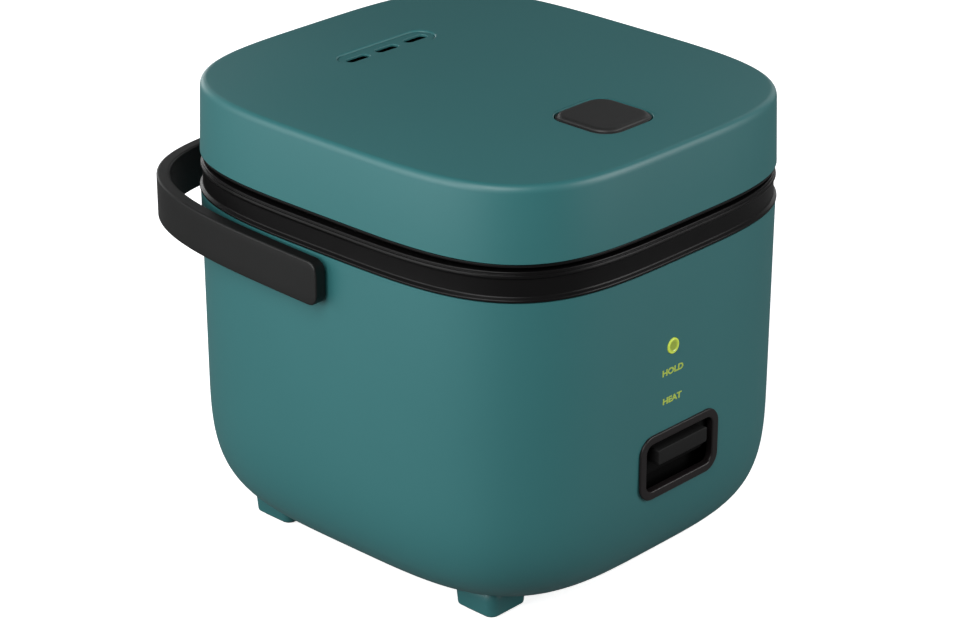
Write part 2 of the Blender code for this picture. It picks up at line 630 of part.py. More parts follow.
def path_wire(name, route, radius, material, carrier):
    """An insulated wire along a smooth curve through a few chosen points, in millimetres."""
    points = [Vector(point) * MM for point in route]
    ends = [2 * points[0] - points[1]] + points + [2 * points[-1] - points[-2]]
    smooth = []
    for start in range(len(points) - 1):
        before, first, second, after = ends[start:start + 4]
        for step in range(4):
            t = step / 4
            smooth.append(0.5 * (2 * first + (second - before) * t
                                 + (2 * before - 5 * first + 4 * second - after) * t ** 2
                                 + (3 * first - before - 3 * second + after) * t ** 3))
    smooth.append(points[-1])
    curve = bpy.data.curves.new(name, "CURVE")
    curve.dimensions = "3D"
    curve.bevel_depth = radius
    curve.bevel_resolution = 0
    curve.use_fill_caps = True
    spline = curve.splines.new("POLY")
    spline.points.add(len(smooth) - 1)
    for spot, point in zip(spline.points, smooth):
        spot.co = (*point, 1.0)
    curve.materials.append(material)
    made = bpy.data.objects.new(name, curve)
    bpy.context.scene.collection.objects.link(made)
    made.parent = carrier


# ---------------------------------------------------------------------------- lid

def lid_ring(narrower, z):
    """Section of the lid, moved in from its lower edge."""
    return ellipse_ring(LID_EDGE_X - narrower, LID_EDGE_Y - narrower, z, LID_EXPONENT)


def crown_ring(share, z):
    """Section of the lid's gently domed top, as a share of the crease's outline."""
    return ellipse_ring(LID_CREASE_X * share, LID_CREASE_Y * share, z, LID_EXPONENT)


def lid_cover(material, carrier):
    """Painted lid shell with a soft top edge, a button opening and the vent opening."""
    def top_ring(narrower, z):
        return ellipse_ring(LID_CREASE_X - narrower, LID_CREASE_Y - narrower, z, LID_EXPONENT)

    outside = [
        lid_ring(0.0, LID_BOTTOM),
        lid_ring((LID_EDGE_X - LID_CREASE_X) / 2, 172 * MM),
        top_ring(0.0, LID_TOP - 3.2 * MM),
        top_ring(0.5 * MM, LID_TOP - 1.6 * MM),
        top_ring(1.5 * MM, LID_TOP - 0.5 * MM),
        top_ring(3.2 * MM, LID_TOP),
        crown_ring(0.62, LID_TOP + LID_CROWN * 0.6),
        crown_ring(0.3, LID_TOP + LID_CROWN),
    ]
    ceiling = LID_TOP - LID_WALL
    inside = [
        crown_ring(0.3, ceiling + LID_CROWN),
        top_ring(4.5 * MM, ceiling),
        top_ring(2.2 * MM, ceiling - 2 * MM),
        lid_ring(LID_WALL, LID_BOTTOM),
    ]
    shell = piece("lid_cover", loft(inside + outside), material, carrier)
    opening, corner = BUTTON_SIZE + 1.0 * MM, BUTTON_RADIUS + 0.5 * MM
    cut(shell, loft([
        rectangle_ring(opening, opening, corner, z, (0, BUTTON_Y)) for z in (175 * MM, 195 * MM)
    ]))
    cut(shell, loft([
        rectangle_ring(VENT_LENGTH, VENT_WIDTH, VENT_WIDTH / 2 - 0.1 * MM, z, (0, VENT_Y), 6)
        for z in (175 * MM, 195 * MM)
    ]))


def lid_frame(material, carrier):
    """Black tray that closes the lid's underside, with the hinge knuckles and latch ears."""
    rings = [
        circle_ring(3 * MM, 152.0 * MM, count=SHELL_SEGMENTS),
        circle_ring(3 * MM, FRAME_BOTTOM, count=SHELL_SEGMENTS),
        lid_ring(0.35 * MM, FRAME_BOTTOM),
        lid_ring(0.35 * MM, LID_BOTTOM - GAP),
        lid_ring(2.7 * MM, LID_BOTTOM - GAP),
        lid_ring(2.7 * MM, 163 * MM),
        lid_ring(4.2 * MM, 163 * MM),
        lid_ring(4.2 * MM, FRAME_DECK),
    ]
    frame = piece("lid_frame", loft(rings), material, carrier)
    for side in (-1, 1):
        low, high = sorted((side * 5 * MM, side * 12 * MM))
        join(frame, rod_along_x(HINGE_RADIUS, low, high, HINGE_Y, HINGE_Z))
        join(frame, cuboid((low, HINGE_Y - 2.4 * MM, HINGE_Z + 1 * MM),
                           (high, HINGE_Y + 1 * MM, FRAME_BOTTOM + 0.6 * MM)))
        low, high = sorted((side * 8 * MM, side * 10.5 * MM))
        join(frame, cuboid((low, LATCH_Y - 4 * MM, FRAME_DECK - 0.8 * MM),
                           (high, LATCH_Y + 4 * MM, LATCH_Z + 4 * MM)))
    cut(frame, rod_along_x(HINGE_PIN_RADIUS + GAP, -13 * MM, 13 * MM, HINGE_Y, HINGE_Z))
    cut(frame, rod_along_x(1.5 * MM, -12 * MM, 12 * MM, LATCH_Y, LATCH_Z))
    cut(frame, cuboid((-6.5 * MM, -93.5 * MM, 150 * MM), (6.5 * MM, -82.5 * MM, 162 * MM)))
    cut(frame, turned([(8 * MM, 150 * MM), (8 * MM, 162 * MM)], (0, VENT_Y), count=SMALL_SEGMENTS))


def lid_lining(metal, rubber, carrier):
    """Inner lid disc on its silicone button, and the seal round its edge."""
    disc = [(6 * MM, 153.6 * MM), (73.2 * MM, 153.6 * MM), (73.2 * MM, 154.4 * MM), (6 * MM, 154.4 * MM)]
    plate = piece("inner_lid_plate", turned(disc, hollow=True, count=SHELL_SEGMENTS), metal, carrier)
    cut(plate, turned([(4 * MM, 150 * MM), (4 * MM, 158 * MM)], (0, VENT_Y - 4 * MM), count=12))
    grommet = [
        (3.3 * MM, 151.6 * MM), (8 * MM, 151.6 * MM), (9 * MM, 152.3 * MM), (9 * MM, 153.3 * MM),
        (5.6 * MM, 153.3 * MM), (5.6 * MM, 154.7 * MM), (8 * MM, 154.7 * MM), (8 * MM, 155.6 * MM),
        (3.3 * MM, 155.6 * MM),
    ]
    piece("inner_lid_grommet", turned(grommet, hollow=True, count=20), rubber, carrier)
    seal = [
        (73.6 * MM, 152.9 * MM), (75.5 * MM, 152.65 * MM), (78.4 * MM, 153.2 * MM), (78.4 * MM, 155.5 * MM),
        (73.6 * MM, 155.5 * MM),
    ]
    piece("lid_seal", turned(seal, hollow=True, count=SHELL_SEGMENTS), rubber, carrier)


def steam_outlet(shell_finish, black, carrier):
    """Slotted vent insert in the lid and the duct that leads up to it."""
    top = LID_TOP + 0.25 * MM - VENT_SUNK
    length, width = VENT_LENGTH - 0.7 * MM, VENT_WIDTH - 0.7 * MM
    place = (0.0, VENT_Y)
    insert = piece("steam_vent", loft([
        rectangle_ring(length, width, width / 2 - 0.1 * MM, z, place, 6) for z in (top - VENT_THICK, top)
    ]), shell_finish, carrier)
    for number in (-1, 0, 1):
        spot = (number * SLOT_PITCH, VENT_Y)
        cut(insert, loft([
            rectangle_ring(SLOT_LENGTH, SLOT_WIDTH, SLOT_WIDTH / 2 - 0.1 * MM, z, spot, 3)
            for z in (175 * MM, 195 * MM)
        ]))
    low, high = FRAME_DECK + GAP, top - 2.7 * MM
    wall = 1.2 * MM
    duct = [
        ellipse_ring(10 * MM, 10 * MM, low, 2, place, 24),
        ellipse_ring(26 * MM, 5.6 * MM, high - 5 * MM, 4, place, 24),
        ellipse_ring(26 * MM, 5.6 * MM, high, 4, place, 24),
        ellipse_ring(26 * MM - wall, 5.6 * MM - wall, high, 4, place, 24),
        ellipse_ring(26 * MM - wall, 5.6 * MM - wall, high - 5 * MM, 4, place, 24),
        ellipse_ring(10 * MM - wall, 10 * MM - wall, low, 2, place, 24),
    ]
    piece("steam_duct", loft(duct, hollow=True), black, carrier)


def lid_hinge(steel, spring_steel, carrier):
    """Hinge pin through the knuckles, and the torsion spring round its middle."""
    piece("hinge_pin", rod_along_x(HINGE_PIN_RADIUS, -HINGE_HALF, HINGE_HALF, HINGE_Y, HINGE_Z), steel, carrier)
    spring = coil(2.25 * MM, 0.45 * MM, -4.4 * MM, 4.4 * MM, 5)
    spring.transform(Matrix.Translation((0, HINGE_Y, HINGE_Z)) @ Matrix.Rotation(math.pi / 2, 4, "Y"))
    piece("hinge_spring", spring, spring_steel, carrier)


def lid_button(material, carrier):
    """Square push button with round corners and the stem that presses the latch."""
    size, radius = BUTTON_SIZE, BUTTON_RADIUS
    low = BUTTON_TOP - BUTTON_DEEP
    spot = (0, BUTTON_Y)
    cap = [
        rectangle_ring(size, size, radius, low, spot, 5),
        rectangle_ring(size, size, radius, BUTTON_TOP - 1.3 * MM, spot, 5),
        rectangle_ring(size - 0.9 * MM, size - 0.9 * MM, radius - 0.4 * MM, BUTTON_TOP - 0.5 * MM, spot, 5),
        rectangle_ring(size - 3.2 * MM, size - 3.2 * MM, radius - 1.4 * MM, BUTTON_TOP, spot, 5),
    ]
    button = piece("lid_button", loft(cap), material, carrier)
    stem_low = LATCH_Z + 1.6 * MM + 0.45 * MM
    join(button, turned([(1.8 * MM, stem_low), (1.8 * MM, low + 1 * MM)], (0, LATCH_Y + LATCH_REACH), count=12))


def latch(plastic, steel, spring_steel, carrier, hook_carrier):
    """Hook that the button swings forward, with its pin, its spring and the button's spring."""
    barrel = rod_along_x(3.0 * MM, -3.5 * MM, 3.5 * MM, LATCH_Y, LATCH_Z)
    hook = piece("latch_hook", barrel, plastic, hook_carrier)
    join(hook, cuboid((-3.5 * MM, LATCH_Y, LATCH_Z - 1.6 * MM),
                      (3.5 * MM, LATCH_Y + LATCH_REACH + 1.9 * MM, LATCH_Z + 1.6 * MM)))
    join(hook, cuboid((-3.5 * MM, LATCH_Y - 10 * MM, 149 * MM), (3.5 * MM, LATCH_Y - 7 * MM, LATCH_Z - 1 * MM)))
    join(hook, cuboid((-3.5 * MM, LATCH_Y - 9.5 * MM, LATCH_Z - 3.2 * MM),
                      (3.5 * MM, LATCH_Y, LATCH_Z - 0.2 * MM)))
    join(hook, cuboid((-3.5 * MM, LATCH_Y - 9 * MM, 149 * MM), (3.5 * MM, LATCH_Y - 5.8 * MM, 151.3 * MM)))
    cut(hook, rod_along_x(1.5 * MM, -9 * MM, 9 * MM, LATCH_Y, LATCH_Z))
    piece("latch_pin", rod_along_x(1.2 * MM, -11.5 * MM, 11.5 * MM, LATCH_Y, LATCH_Z, 12), steel, carrier)
    spring = coil(2.4 * MM, 0.45 * MM, 3.9 * MM, 7.6 * MM, 3)
    spring.transform(Matrix.Translation((0, LATCH_Y, LATCH_Z)) @ Matrix.Rotation(math.pi / 2, 4, "Y"))
    piece("latch_spring", spring, spring_steel, carrier)
    piece("button_spring", coil(5 * MM, 0.5 * MM, FRAME_DECK + GAP, BUTTON_TOP - BUTTON_DEEP - GAP, 6,
                                (0, BUTTON_Y + 5 * MM)), spring_steel, carrier)


# ---------------------------------------------------------------- carrying handle

def handle_station(turn):
    """Outer point and outward normal of the handle's arch in plan."""
    half_x, half_y = HANDLE_HALF_X, HANDLE_REAR_Y - HANDLE_CENTRE_Y
    power = 2 / HANDLE_EXPONENT
    x = half_x * math.copysign(abs(math.sin(turn)) ** power, math.sin(turn))
    y = half_y * abs(math.cos(turn)) ** power
    steep_x = math.copysign(abs(x / half_x) ** (HANDLE_EXPONENT - 1) / half_x, x)
    steep_y = (y / half_y) ** (HANDLE_EXPONENT - 1) / half_y
    return Vector((x, y + HANDLE_CENTRE_Y, 0.0)), Vector((steep_x, steep_y, 0.0)).normalized()


def handle_section(outer, normal):
    """One section of the flat handle band, lower towards its rounded front ends."""
    from_end = max(outer.y - HANDLE_FRONT_Y, 0.0)
    dip = max(HANDLE_CORNER - from_end, 0.0)
    drop = HANDLE_CORNER - math.sqrt(max(HANDLE_CORNER ** 2 - dip ** 2, 0.0))
    middle = HANDLE_PIVOT_Z + 0.25 * MM + HANDLE_TILT * (outer.y - HANDLE_PIVOT_Y)
    half = HANDLE_HEIGHT / 2 - drop
    inner = outer - normal * HANDLE_THICK
    ease = normal * 0.9 * MM
    points = []
    for base, level in (
        (outer - ease, half), (outer, half - 0.9 * MM), (outer, 0.9 * MM - half), (outer - ease, -half),
        (inner + ease, -half), (inner, 0.9 * MM - half), (inner, half - 0.9 * MM), (inner + ease, half),
    ):
        points.append(Vector((base.x, base.y, middle + level)))
    return points


def carry_handle(plastic, steel, washer_finish, carrier, fixed):
    """Arched carrying handle with its two headed pivot pins and the washers under it."""
    last = math.acos(((HANDLE_FRONT_Y - HANDLE_CENTRE_Y) / (HANDLE_REAR_Y - HANDLE_CENTRE_Y))
                     ** (HANDLE_EXPONENT / 2))
    near_end = [0.9985, 0.9955, 0.985]
    shares = [1.0] + near_end + [1 - step / 18 for step in range(1, 18)]
    turns = [last * share for share in shares]
    turns = turns + [0.0] + [-turn for turn in reversed(turns)]
    piece("carry_handle", loft([handle_section(*handle_station(turn)) for turn in turns]), plastic, carrier)
    inner_face = HANDLE_HALF_X - HANDLE_THICK
    for name, side in (("left", -1), ("right", 1)):
        place = Matrix.Translation((0.0, HANDLE_PIVOT_Y, HANDLE_PIVOT_Z)) @ Matrix.Rotation(
            side * math.pi / 2, 4, "Y")
        pin = turned([(5.4 * MM, 83.6 * MM), (5.4 * MM, 85.2 * MM), (3.2 * MM, 85.2 * MM),
                      (3.2 * MM, inner_face - GAP)], count=20)
        washer = turned([(3.5 * MM, 90.25 * MM), (7.6 * MM, 90.25 * MM), (7.6 * MM, 90.95 * MM),
                         (3.5 * MM, 90.95 * MM)], hollow=True, count=20)
        for mesh in (pin, washer):
            mesh.transform(place)
        piece(f"handle_pin_{name}", pin, steel, carrier)
        piece(f"handle_washer_{name}", washer, washer_finish, fixed)


# ----------------------------------------------------------------------- assembly

def build():
    """Clear the scene, then make every piece on its carrier."""
    for old in list(bpy.data.objects):
        bpy.data.objects.remove(old)
    teal = finish("teal_coat", (0.035, 0.19, 0.20), 0.38)
    black = finish("black_plastic", (0.012, 0.012, 0.012), 0.35)
    rubber = finish("pad_rubber", (0.03, 0.03, 0.03), 0.8)
    silicone = finish("silicone", (0.75, 0.76, 0.76), 0.5)
    steel = finish("plated_steel", (0.6, 0.6, 0.62), 0.35, 1.0)
    spring_steel = finish("spring_steel", (0.4, 0.41, 0.43), 0.3, 1.0)
    sheet = finish("liner_sheet", (0.62, 0.63, 0.64), 0.4, 1.0)
    cast = finish("cast_aluminium", (0.55, 0.55, 0.56), 0.5, 1.0)
    coating = finish("pot_coating", (0.06, 0.06, 0.065), 0.4, 0.2)
    board = finish("board_green", (0.02, 0.18, 0.07), 0.5)
    lens = finish("lens_yellow_green", (0.42, 0.55, 0.06), 0.3)
    wire = finish("wire_insulation", (0.55, 0.03, 0.03), 0.5)

    assembly = empty_at("assembly", None, (0.0, BODY_Y, 0.0))
    lid = empty_at("lid_axis", assembly, (0.0, HINGE_Y, HINGE_Z))
    handle = empty_at("handle_axis", assembly, (0.0, HANDLE_PIVOT_Y, HANDLE_PIVOT_Z))
    lever = empty_at("lever_axis", assembly, (0.0, LEVER_PIVOT_Y, LEVER_PIVOT_Z))
    magnet = empty_at("magnet_axis", assembly, (0.0, 0.0, BEAM_BOTTOM))
    cap = empty_at("cap_axis", assembly, (0.0, 0.0, PLATE_TOP))
    button = empty_at("button_axis", assembly, (0.0, BUTTON_Y, BUTTON_TOP))
    hook = empty_at("hook_axis", assembly, (0.0, LATCH_Y, LATCH_Z))

    outer_body(teal, assembly)
    base_cover(teal, assembly)
    foot_pads(rubber, assembly)
    base_screws(steel, assembly)
    rim_ring(black, assembly)
    inner_liner(sheet, assembly)
    inner_pot(coating, assembly)
    heating_parts(cast, steel, assembly)
    thermostat(steel, spring_steel, assembly, cap, magnet)
    cook_lever(black, steel, lever)
    lever_mount(steel, spring_steel, assembly)
    lever_bezel(black, assembly)
    electrics(black, steel, board, lens, wire, assembly)
    lid_hinge(steel, spring_steel, assembly)
    lid_cover(teal, lid)
    lid_frame(black, lid)
    lid_lining(sheet, silicone, lid)
    steam_outlet(teal, black, lid)
    latch(black, steel, spring_steel, lid, hook)
    lid_button(black, button)
    carry_handle(black, steel, rubber, handle, assembly)


build()
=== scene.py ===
import json
import math

import bmesh
import bpy
import numpy as np
from mathutils import Matrix, Vector

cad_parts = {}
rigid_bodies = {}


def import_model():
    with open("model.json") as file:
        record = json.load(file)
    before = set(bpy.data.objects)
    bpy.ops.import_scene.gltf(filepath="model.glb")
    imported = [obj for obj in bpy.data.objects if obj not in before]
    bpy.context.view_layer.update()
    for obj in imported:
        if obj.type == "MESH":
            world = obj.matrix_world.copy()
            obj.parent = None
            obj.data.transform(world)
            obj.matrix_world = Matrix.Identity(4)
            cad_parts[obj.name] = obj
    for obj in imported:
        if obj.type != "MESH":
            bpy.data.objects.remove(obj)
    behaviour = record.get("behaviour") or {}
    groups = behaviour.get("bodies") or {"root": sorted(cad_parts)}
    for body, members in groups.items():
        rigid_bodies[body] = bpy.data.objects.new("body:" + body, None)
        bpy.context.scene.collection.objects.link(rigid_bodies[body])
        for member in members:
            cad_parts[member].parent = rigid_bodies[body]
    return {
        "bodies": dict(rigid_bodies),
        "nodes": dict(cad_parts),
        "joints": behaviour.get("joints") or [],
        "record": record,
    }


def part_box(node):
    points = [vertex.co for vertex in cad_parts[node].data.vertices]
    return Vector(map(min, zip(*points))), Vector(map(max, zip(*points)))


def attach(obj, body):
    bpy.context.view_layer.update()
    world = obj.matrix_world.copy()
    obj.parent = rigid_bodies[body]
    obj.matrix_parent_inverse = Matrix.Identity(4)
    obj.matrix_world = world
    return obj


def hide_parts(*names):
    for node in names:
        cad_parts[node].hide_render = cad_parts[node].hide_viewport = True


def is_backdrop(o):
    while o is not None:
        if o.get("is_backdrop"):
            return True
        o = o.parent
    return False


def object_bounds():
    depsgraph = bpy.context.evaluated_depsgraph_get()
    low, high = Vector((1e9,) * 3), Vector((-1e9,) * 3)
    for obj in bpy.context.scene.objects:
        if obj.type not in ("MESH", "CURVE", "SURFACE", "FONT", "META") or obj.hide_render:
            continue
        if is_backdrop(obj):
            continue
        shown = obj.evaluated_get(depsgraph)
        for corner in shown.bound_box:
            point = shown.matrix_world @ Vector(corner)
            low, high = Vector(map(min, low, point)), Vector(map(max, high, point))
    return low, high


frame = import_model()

cad_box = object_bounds()
MM = 0.001


# ==================================================================== floor, light, camera
# The cooker stands on a plain pale floor. A high window box lights it from the left
# front, a broad dim panel from the right, and weak boxes fill both flanks and the back.

FLOOR_HALF = 6.0
FLOOR_BOUNCE = (0.22, 0.22, 0.22)
FLOOR_SEEN = (0.86, 0.865, 0.87)
FLOOR_LIFT = 0.8
CAMERA_AZIMUTH = math.radians(-46.787)
CAMERA_ELEVATION = math.radians(24.0995)
CAMERA_LENS = 116.04
CAMERA_PLACE = (-0.8143, -0.7701, 0.5894)


def direction(azimuth, elevation):
    """Unit vector from the object towards a viewer: azimuth 0 is the front, turning from +X."""
    level = math.cos(elevation)
    return Vector((math.sin(azimuth) * level, -math.cos(azimuth) * level, math.sin(elevation)))


def soft_box(name, azimuth, elevation, distance, size, power, aim=(0.0, 0.0, 0.1), colour=(1, 1, 1)):
    """A rectangular area light at a bearing round the object, aimed at a point of it."""
    lamp = bpy.data.lights.new(name, "AREA")
    lamp.shape = "RECTANGLE"
    lamp.size, lamp.size_y = size
    lamp.energy = power
    lamp.color = colour
    holder = bpy.data.objects.new(name, lamp)
    bpy.context.scene.collection.objects.link(holder)
    towards = direction(math.radians(azimuth), math.radians(elevation))
    holder.location = Vector(aim) + towards * distance
    holder.rotation_mode = "QUATERNION"
    holder.rotation_quaternion = (-towards).to_track_quat("-Z", "Y")
    return holder


def studio():
    """Pale floor, even world light, soft boxes and the camera."""
    scene = bpy.context.scene
    scene.view_settings.view_transform = "Standard"
    world = bpy.data.worlds.new("studio_air")
    world.use_nodes = True
    air = world.node_tree.nodes["Background"]
    air.inputs["Color"].default_value = (0.97, 0.99, 1.0, 1.0)
    air.inputs["Strength"].default_value = 0.11
    scene.world = world

    mesh = bpy.data.meshes.new("studio_floor")
    corners = [(-FLOOR_HALF, -FLOOR_HALF, 0), (FLOOR_HALF, -FLOOR_HALF, 0),
               (FLOOR_HALF, FLOOR_HALF, 0), (-FLOOR_HALF, FLOOR_HALF, 0)]
    mesh.from_pydata(corners, [], [(0, 1, 2, 3)])
    floor = bpy.data.objects.new("studio_floor", mesh)
    scene.collection.objects.link(floor)
    paper = bpy.data.materials.new("pale_paper")
    paper.use_nodes = True
    shader = paper.node_tree.nodes["Principled BSDF"]
    shader.inputs["Roughness"].default_value = 0.9
    shader.inputs["Specular IOR Level"].default_value = 0.0
    nodes, links = paper.node_tree.nodes, paper.node_tree.links
    sight = nodes.new("ShaderNodeLightPath")
    tone = nodes.new("ShaderNodeMix")
    tone.data_type = "RGBA"
    tone.inputs["A"].default_value = (*FLOOR_BOUNCE, 1.0)
    tone.inputs["B"].default_value = (*FLOOR_SEEN, 1.0)
    links.new(sight.outputs["Is Camera Ray"], tone.inputs["Factor"])
    links.new(tone.outputs["Result"], shader.inputs["Base Color"])
    shader.inputs["Emission Color"].default_value = (1.0, 1.0, 1.0, 1.0)
    lift = nodes.new("ShaderNodeMath")
    lift.operation = "MULTIPLY"
    lift.inputs[1].default_value = FLOOR_LIFT
    links.new(sight.outputs["Is Camera Ray"], lift.inputs[0])
    links.new(lift.outputs[0], shader.inputs["Emission Strength"])
    mesh.materials.append(paper)
    floor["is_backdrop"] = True

    soft_box("window_left", -70, 40, 1.0, (0.6, 0.6), 7.6)
    soft_box("flank_left", -125, 10, 1.1, (0.8, 0.6), 3.9)
    soft_box("low_left", -95, 8, 0.8, (0.5, 0.25), 2.2, (0.0, 0.0, 0.16))
    soft_box("panel_right", 30, 18, 1.5, (0.7, 1.0), 14.4)
    soft_box("flank_right", 100, 20, 1.3, (0.7, 1.0), 2.2)
    soft_box("fill_rear", 165, 8, 1.4, (0.9, 0.6), 5.0)

    view = bpy.data.cameras.new("camera")
    view.lens = CAMERA_LENS
    view.clip_start, view.clip_end = 0.01, 50
    eye = bpy.data.objects.new("camera", view)
    scene.collection.objects.link(eye)
    towards = direction(CAMERA_AZIMUTH, CAMERA_ELEVATION)
    eye.location = CAMERA_PLACE
    eye.rotation_mode = "QUATERNION"
    eye.rotation_quaternion = (-towards).to_track_quat("-Z", "Y")
    scene.camera = eye


studio()


# ============================================================================= body shell
# The body is one moulded shell, painted teal with a silky finish. In plan it is a
# rounded square; it tapers a little downwards and rounds under to the base cover.

BODY_HALF_X = 90.0 * MM
BODY_HALF_Y = 99.7 * MM
BODY_EXPONENT = 3.67
BODY_TAPER = 0.007
BODY_TOP = 142.4 * MM
BODY_BOTTOM = 9.0 * MM
BODY_WALL = 2.2 * MM
ROUND_HEIGHT = 58.0 * MM
ROUND_INSET = 0.5
ROUND_EXPONENT = 3.59
BASE_OPENING = 0.835
TEAL = (0.023, 0.128, 0.133)

shell_low, shell_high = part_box("outer_body")
BODY_Y = (shell_low[1] + shell_high[1]) / 2


def outline(half_x, half_y, exponent, count):
    """Superellipse |x/a|^n + |y/b|^n = 1 as count points, equally spaced along its length."""
    turn = np.linspace(0, 2 * np.pi, 8193)
    across, along = np.cos(turn), np.sin(turn)
    x = half_x * np.sign(across) * np.abs(across) ** (2 / exponent)
    y = half_y * np.sign(along) * np.abs(along) ** (2 / exponent)
    run = np.concatenate(([0], np.cumsum(np.hypot(np.diff(x), np.diff(y)))))
    stops = np.linspace(0, run[-1], count, endpoint=False)
    return np.stack([np.interp(stops, run, x), np.interp(stops, run, y)], axis=1)


def rounded_rectangle(width, height, radius, arc_steps=12, side_steps=6):
    """Rectangle with quarter-circle corners, its straight sides split into equal steps."""
    arc = np.linspace(0, np.pi / 2, arc_steps + 1)
    pieces = []
    corners = ((1, 1), (-1, 1), (-1, -1), (1, -1))
    for quarter, (side_x, side_y) in enumerate(corners):
        middle = np.array([side_x * (width / 2 - radius), side_y * (height / 2 - radius)])
        turn = arc + quarter * np.pi / 2
        curve = middle + radius * np.stack([np.cos(turn), np.sin(turn)], axis=1)
        next_x, next_y = corners[(quarter + 1) % 4]
        after = np.array([next_x * (width / 2 - radius), next_y * (height / 2 - radius)])
        turn_after = (quarter + 1) * np.pi / 2
        start = after + radius * np.array([math.cos(turn_after), math.sin(turn_after)])
        share = np.linspace(0, 1, side_steps + 1)[1:-1, None]
        pieces += [curve, curve[-1] * (1 - share) + start * share]
    return np.concatenate(pieces)


def soften(points, radii, steps=6):
    """Polyline with each inner corner replaced by a parabola that starts a radius away from it."""
    points = np.asarray(points, float)
    radii = np.broadcast_to(radii, len(points))
    share = np.linspace(0, 1, steps + 1)[:, None]
    path = [points[:1]]
    for before, corner, after, radius in zip(points, points[1:], points[2:], radii[1:]):
        reach_in = min(radius, 0.48 * np.linalg.norm(corner - before))
        reach_out = min(radius, 0.48 * np.linalg.norm(after - corner))
        start = corner + (before - corner) / np.linalg.norm(before - corner) * reach_in
        stop = corner + (after - corner) / np.linalg.norm(after - corner) * reach_out
        path.append((1 - share) ** 2 * start + 2 * share * (1 - share) * corner + share ** 2 * stop)
    path.append(points[-1:])
    return np.concatenate(path)


def drawn(points, radii, steps=6):
    """The same softened polyline from points and radii given in millimetres."""
    return soften(np.array(points) * MM, np.array(radii) * MM, steps)


def stack(plan, heights):
    """Rings of 3-D points from one plan outline per height."""
    return np.stack([np.column_stack([ring, np.full(len(ring), z)]) for ring, z in zip(plan, heights)])


def skin(name, rings, joined=False, caps=(True, True), sharp=35):
    """Mesh over an array of rings (ring, point, xyz), quads between neighbours, caps at the ends."""
    rings = np.asarray(rings, float)
    layers, count = rings.shape[:2]
    here = np.arange(layers * count).reshape(layers, count)
    lower = here if joined else here[:-1]
    upper = np.roll(here, -1, axis=0) if joined else here[1:]
    quads = np.stack([lower, np.roll(lower, -1, axis=1), np.roll(upper, -1, axis=1), upper], axis=-1)
    faces = quads.reshape(-1, 4).tolist()
    if not joined:
        faces += [here[0, ::-1].tolist()] if caps[0] else []
        faces += [here[-1].tolist()] if caps[1] else []
    mesh = bpy.data.meshes.new(name)
    mesh.from_pydata(rings.reshape(-1, 3).tolist(), [], faces)
    return tidy_mesh(name, mesh, sharp)


def tidy_mesh(name, mesh, sharp=35):
    """Point all faces outwards, shade smooth with crisp edges, and make the object."""
    work = bmesh.new()
    work.from_mesh(mesh)
    bmesh.ops.remove_doubles(work, verts=work.verts, dist=1e-6)
    bmesh.ops.recalc_face_normals(work, faces=work.faces)
    work.to_mesh(mesh)
    work.free()
    mesh.shade_smooth()
    mesh.set_sharp_from_angle(angle=math.radians(sharp))
    made = bpy.data.objects.new(name, mesh)
    bpy.context.scene.collection.objects.link(made)
    return made


def front(rings, centre_x=0.0, centre_z=0.0):
    """Turn rings drawn as (across, up, forward) so that forward is -Y, about the body's middle."""
    x, up, forward = rings[..., 0], rings[..., 1], rings[..., 2]
    return np.stack([x + centre_x, BODY_Y - forward, up + centre_z], axis=-1)


def rear(rings, centre_x=0.0, centre_z=0.0):
    """Turn rings drawn as (across, up, backward) so that backward is +Y, about the body's middle."""
    x, up, backward = rings[..., 0], rings[..., 1], rings[..., 2]
    return np.stack([centre_x - x, BODY_Y + backward, up + centre_z], axis=-1)


def at(rings, x=0.0, y=0.0):
    """Rings moved to a place measured from the body's middle."""
    return rings + np.array([x, y + BODY_Y, 0.0])


def carve(piece, *tools, operation="DIFFERENCE"):
    """Cut tool meshes from a piece, or join them on, and remove the tools."""
    for tool in tools:
        modifier = piece.modifiers.new("carve", "BOOLEAN")
        modifier.operation = operation
        modifier.object = tool
    bpy.context.view_layer.update()
    done = bpy.data.meshes.new_from_object(piece.evaluated_get(bpy.context.evaluated_depsgraph_get()))
    piece.modifiers.clear()
    name = piece.data.name
    piece.data = done
    piece.data.name = name
    piece.data.shade_smooth()
    piece.data.set_sharp_from_angle(angle=math.radians(35))
    for tool in tools:
        bpy.data.objects.remove(tool)
    return piece


def place(piece, body, slot, material, *nodes):
    """Give a finished piece its material, its body and the CAD nodes it stands for; the slot is not used."""
    piece.data.materials.clear()
    piece.data.materials.append(material)
    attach(piece, body)
    if nodes:
        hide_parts(*nodes)
    return piece


def new_group(name, inputs, outputs):
    """An empty shader node group with named inputs and outputs and their default values."""
    group = bpy.data.node_groups.new(name, "ShaderNodeTree")
    for label, kind, value in inputs:
        made = group.interface.new_socket(label, in_out="INPUT", socket_type=kind)
        made.default_value = value
    for label, kind in outputs:
        group.interface.new_socket(label, in_out="OUTPUT", socket_type=kind)
    return group, group.nodes.new("NodeGroupInput"), group.nodes.new("NodeGroupOutput")


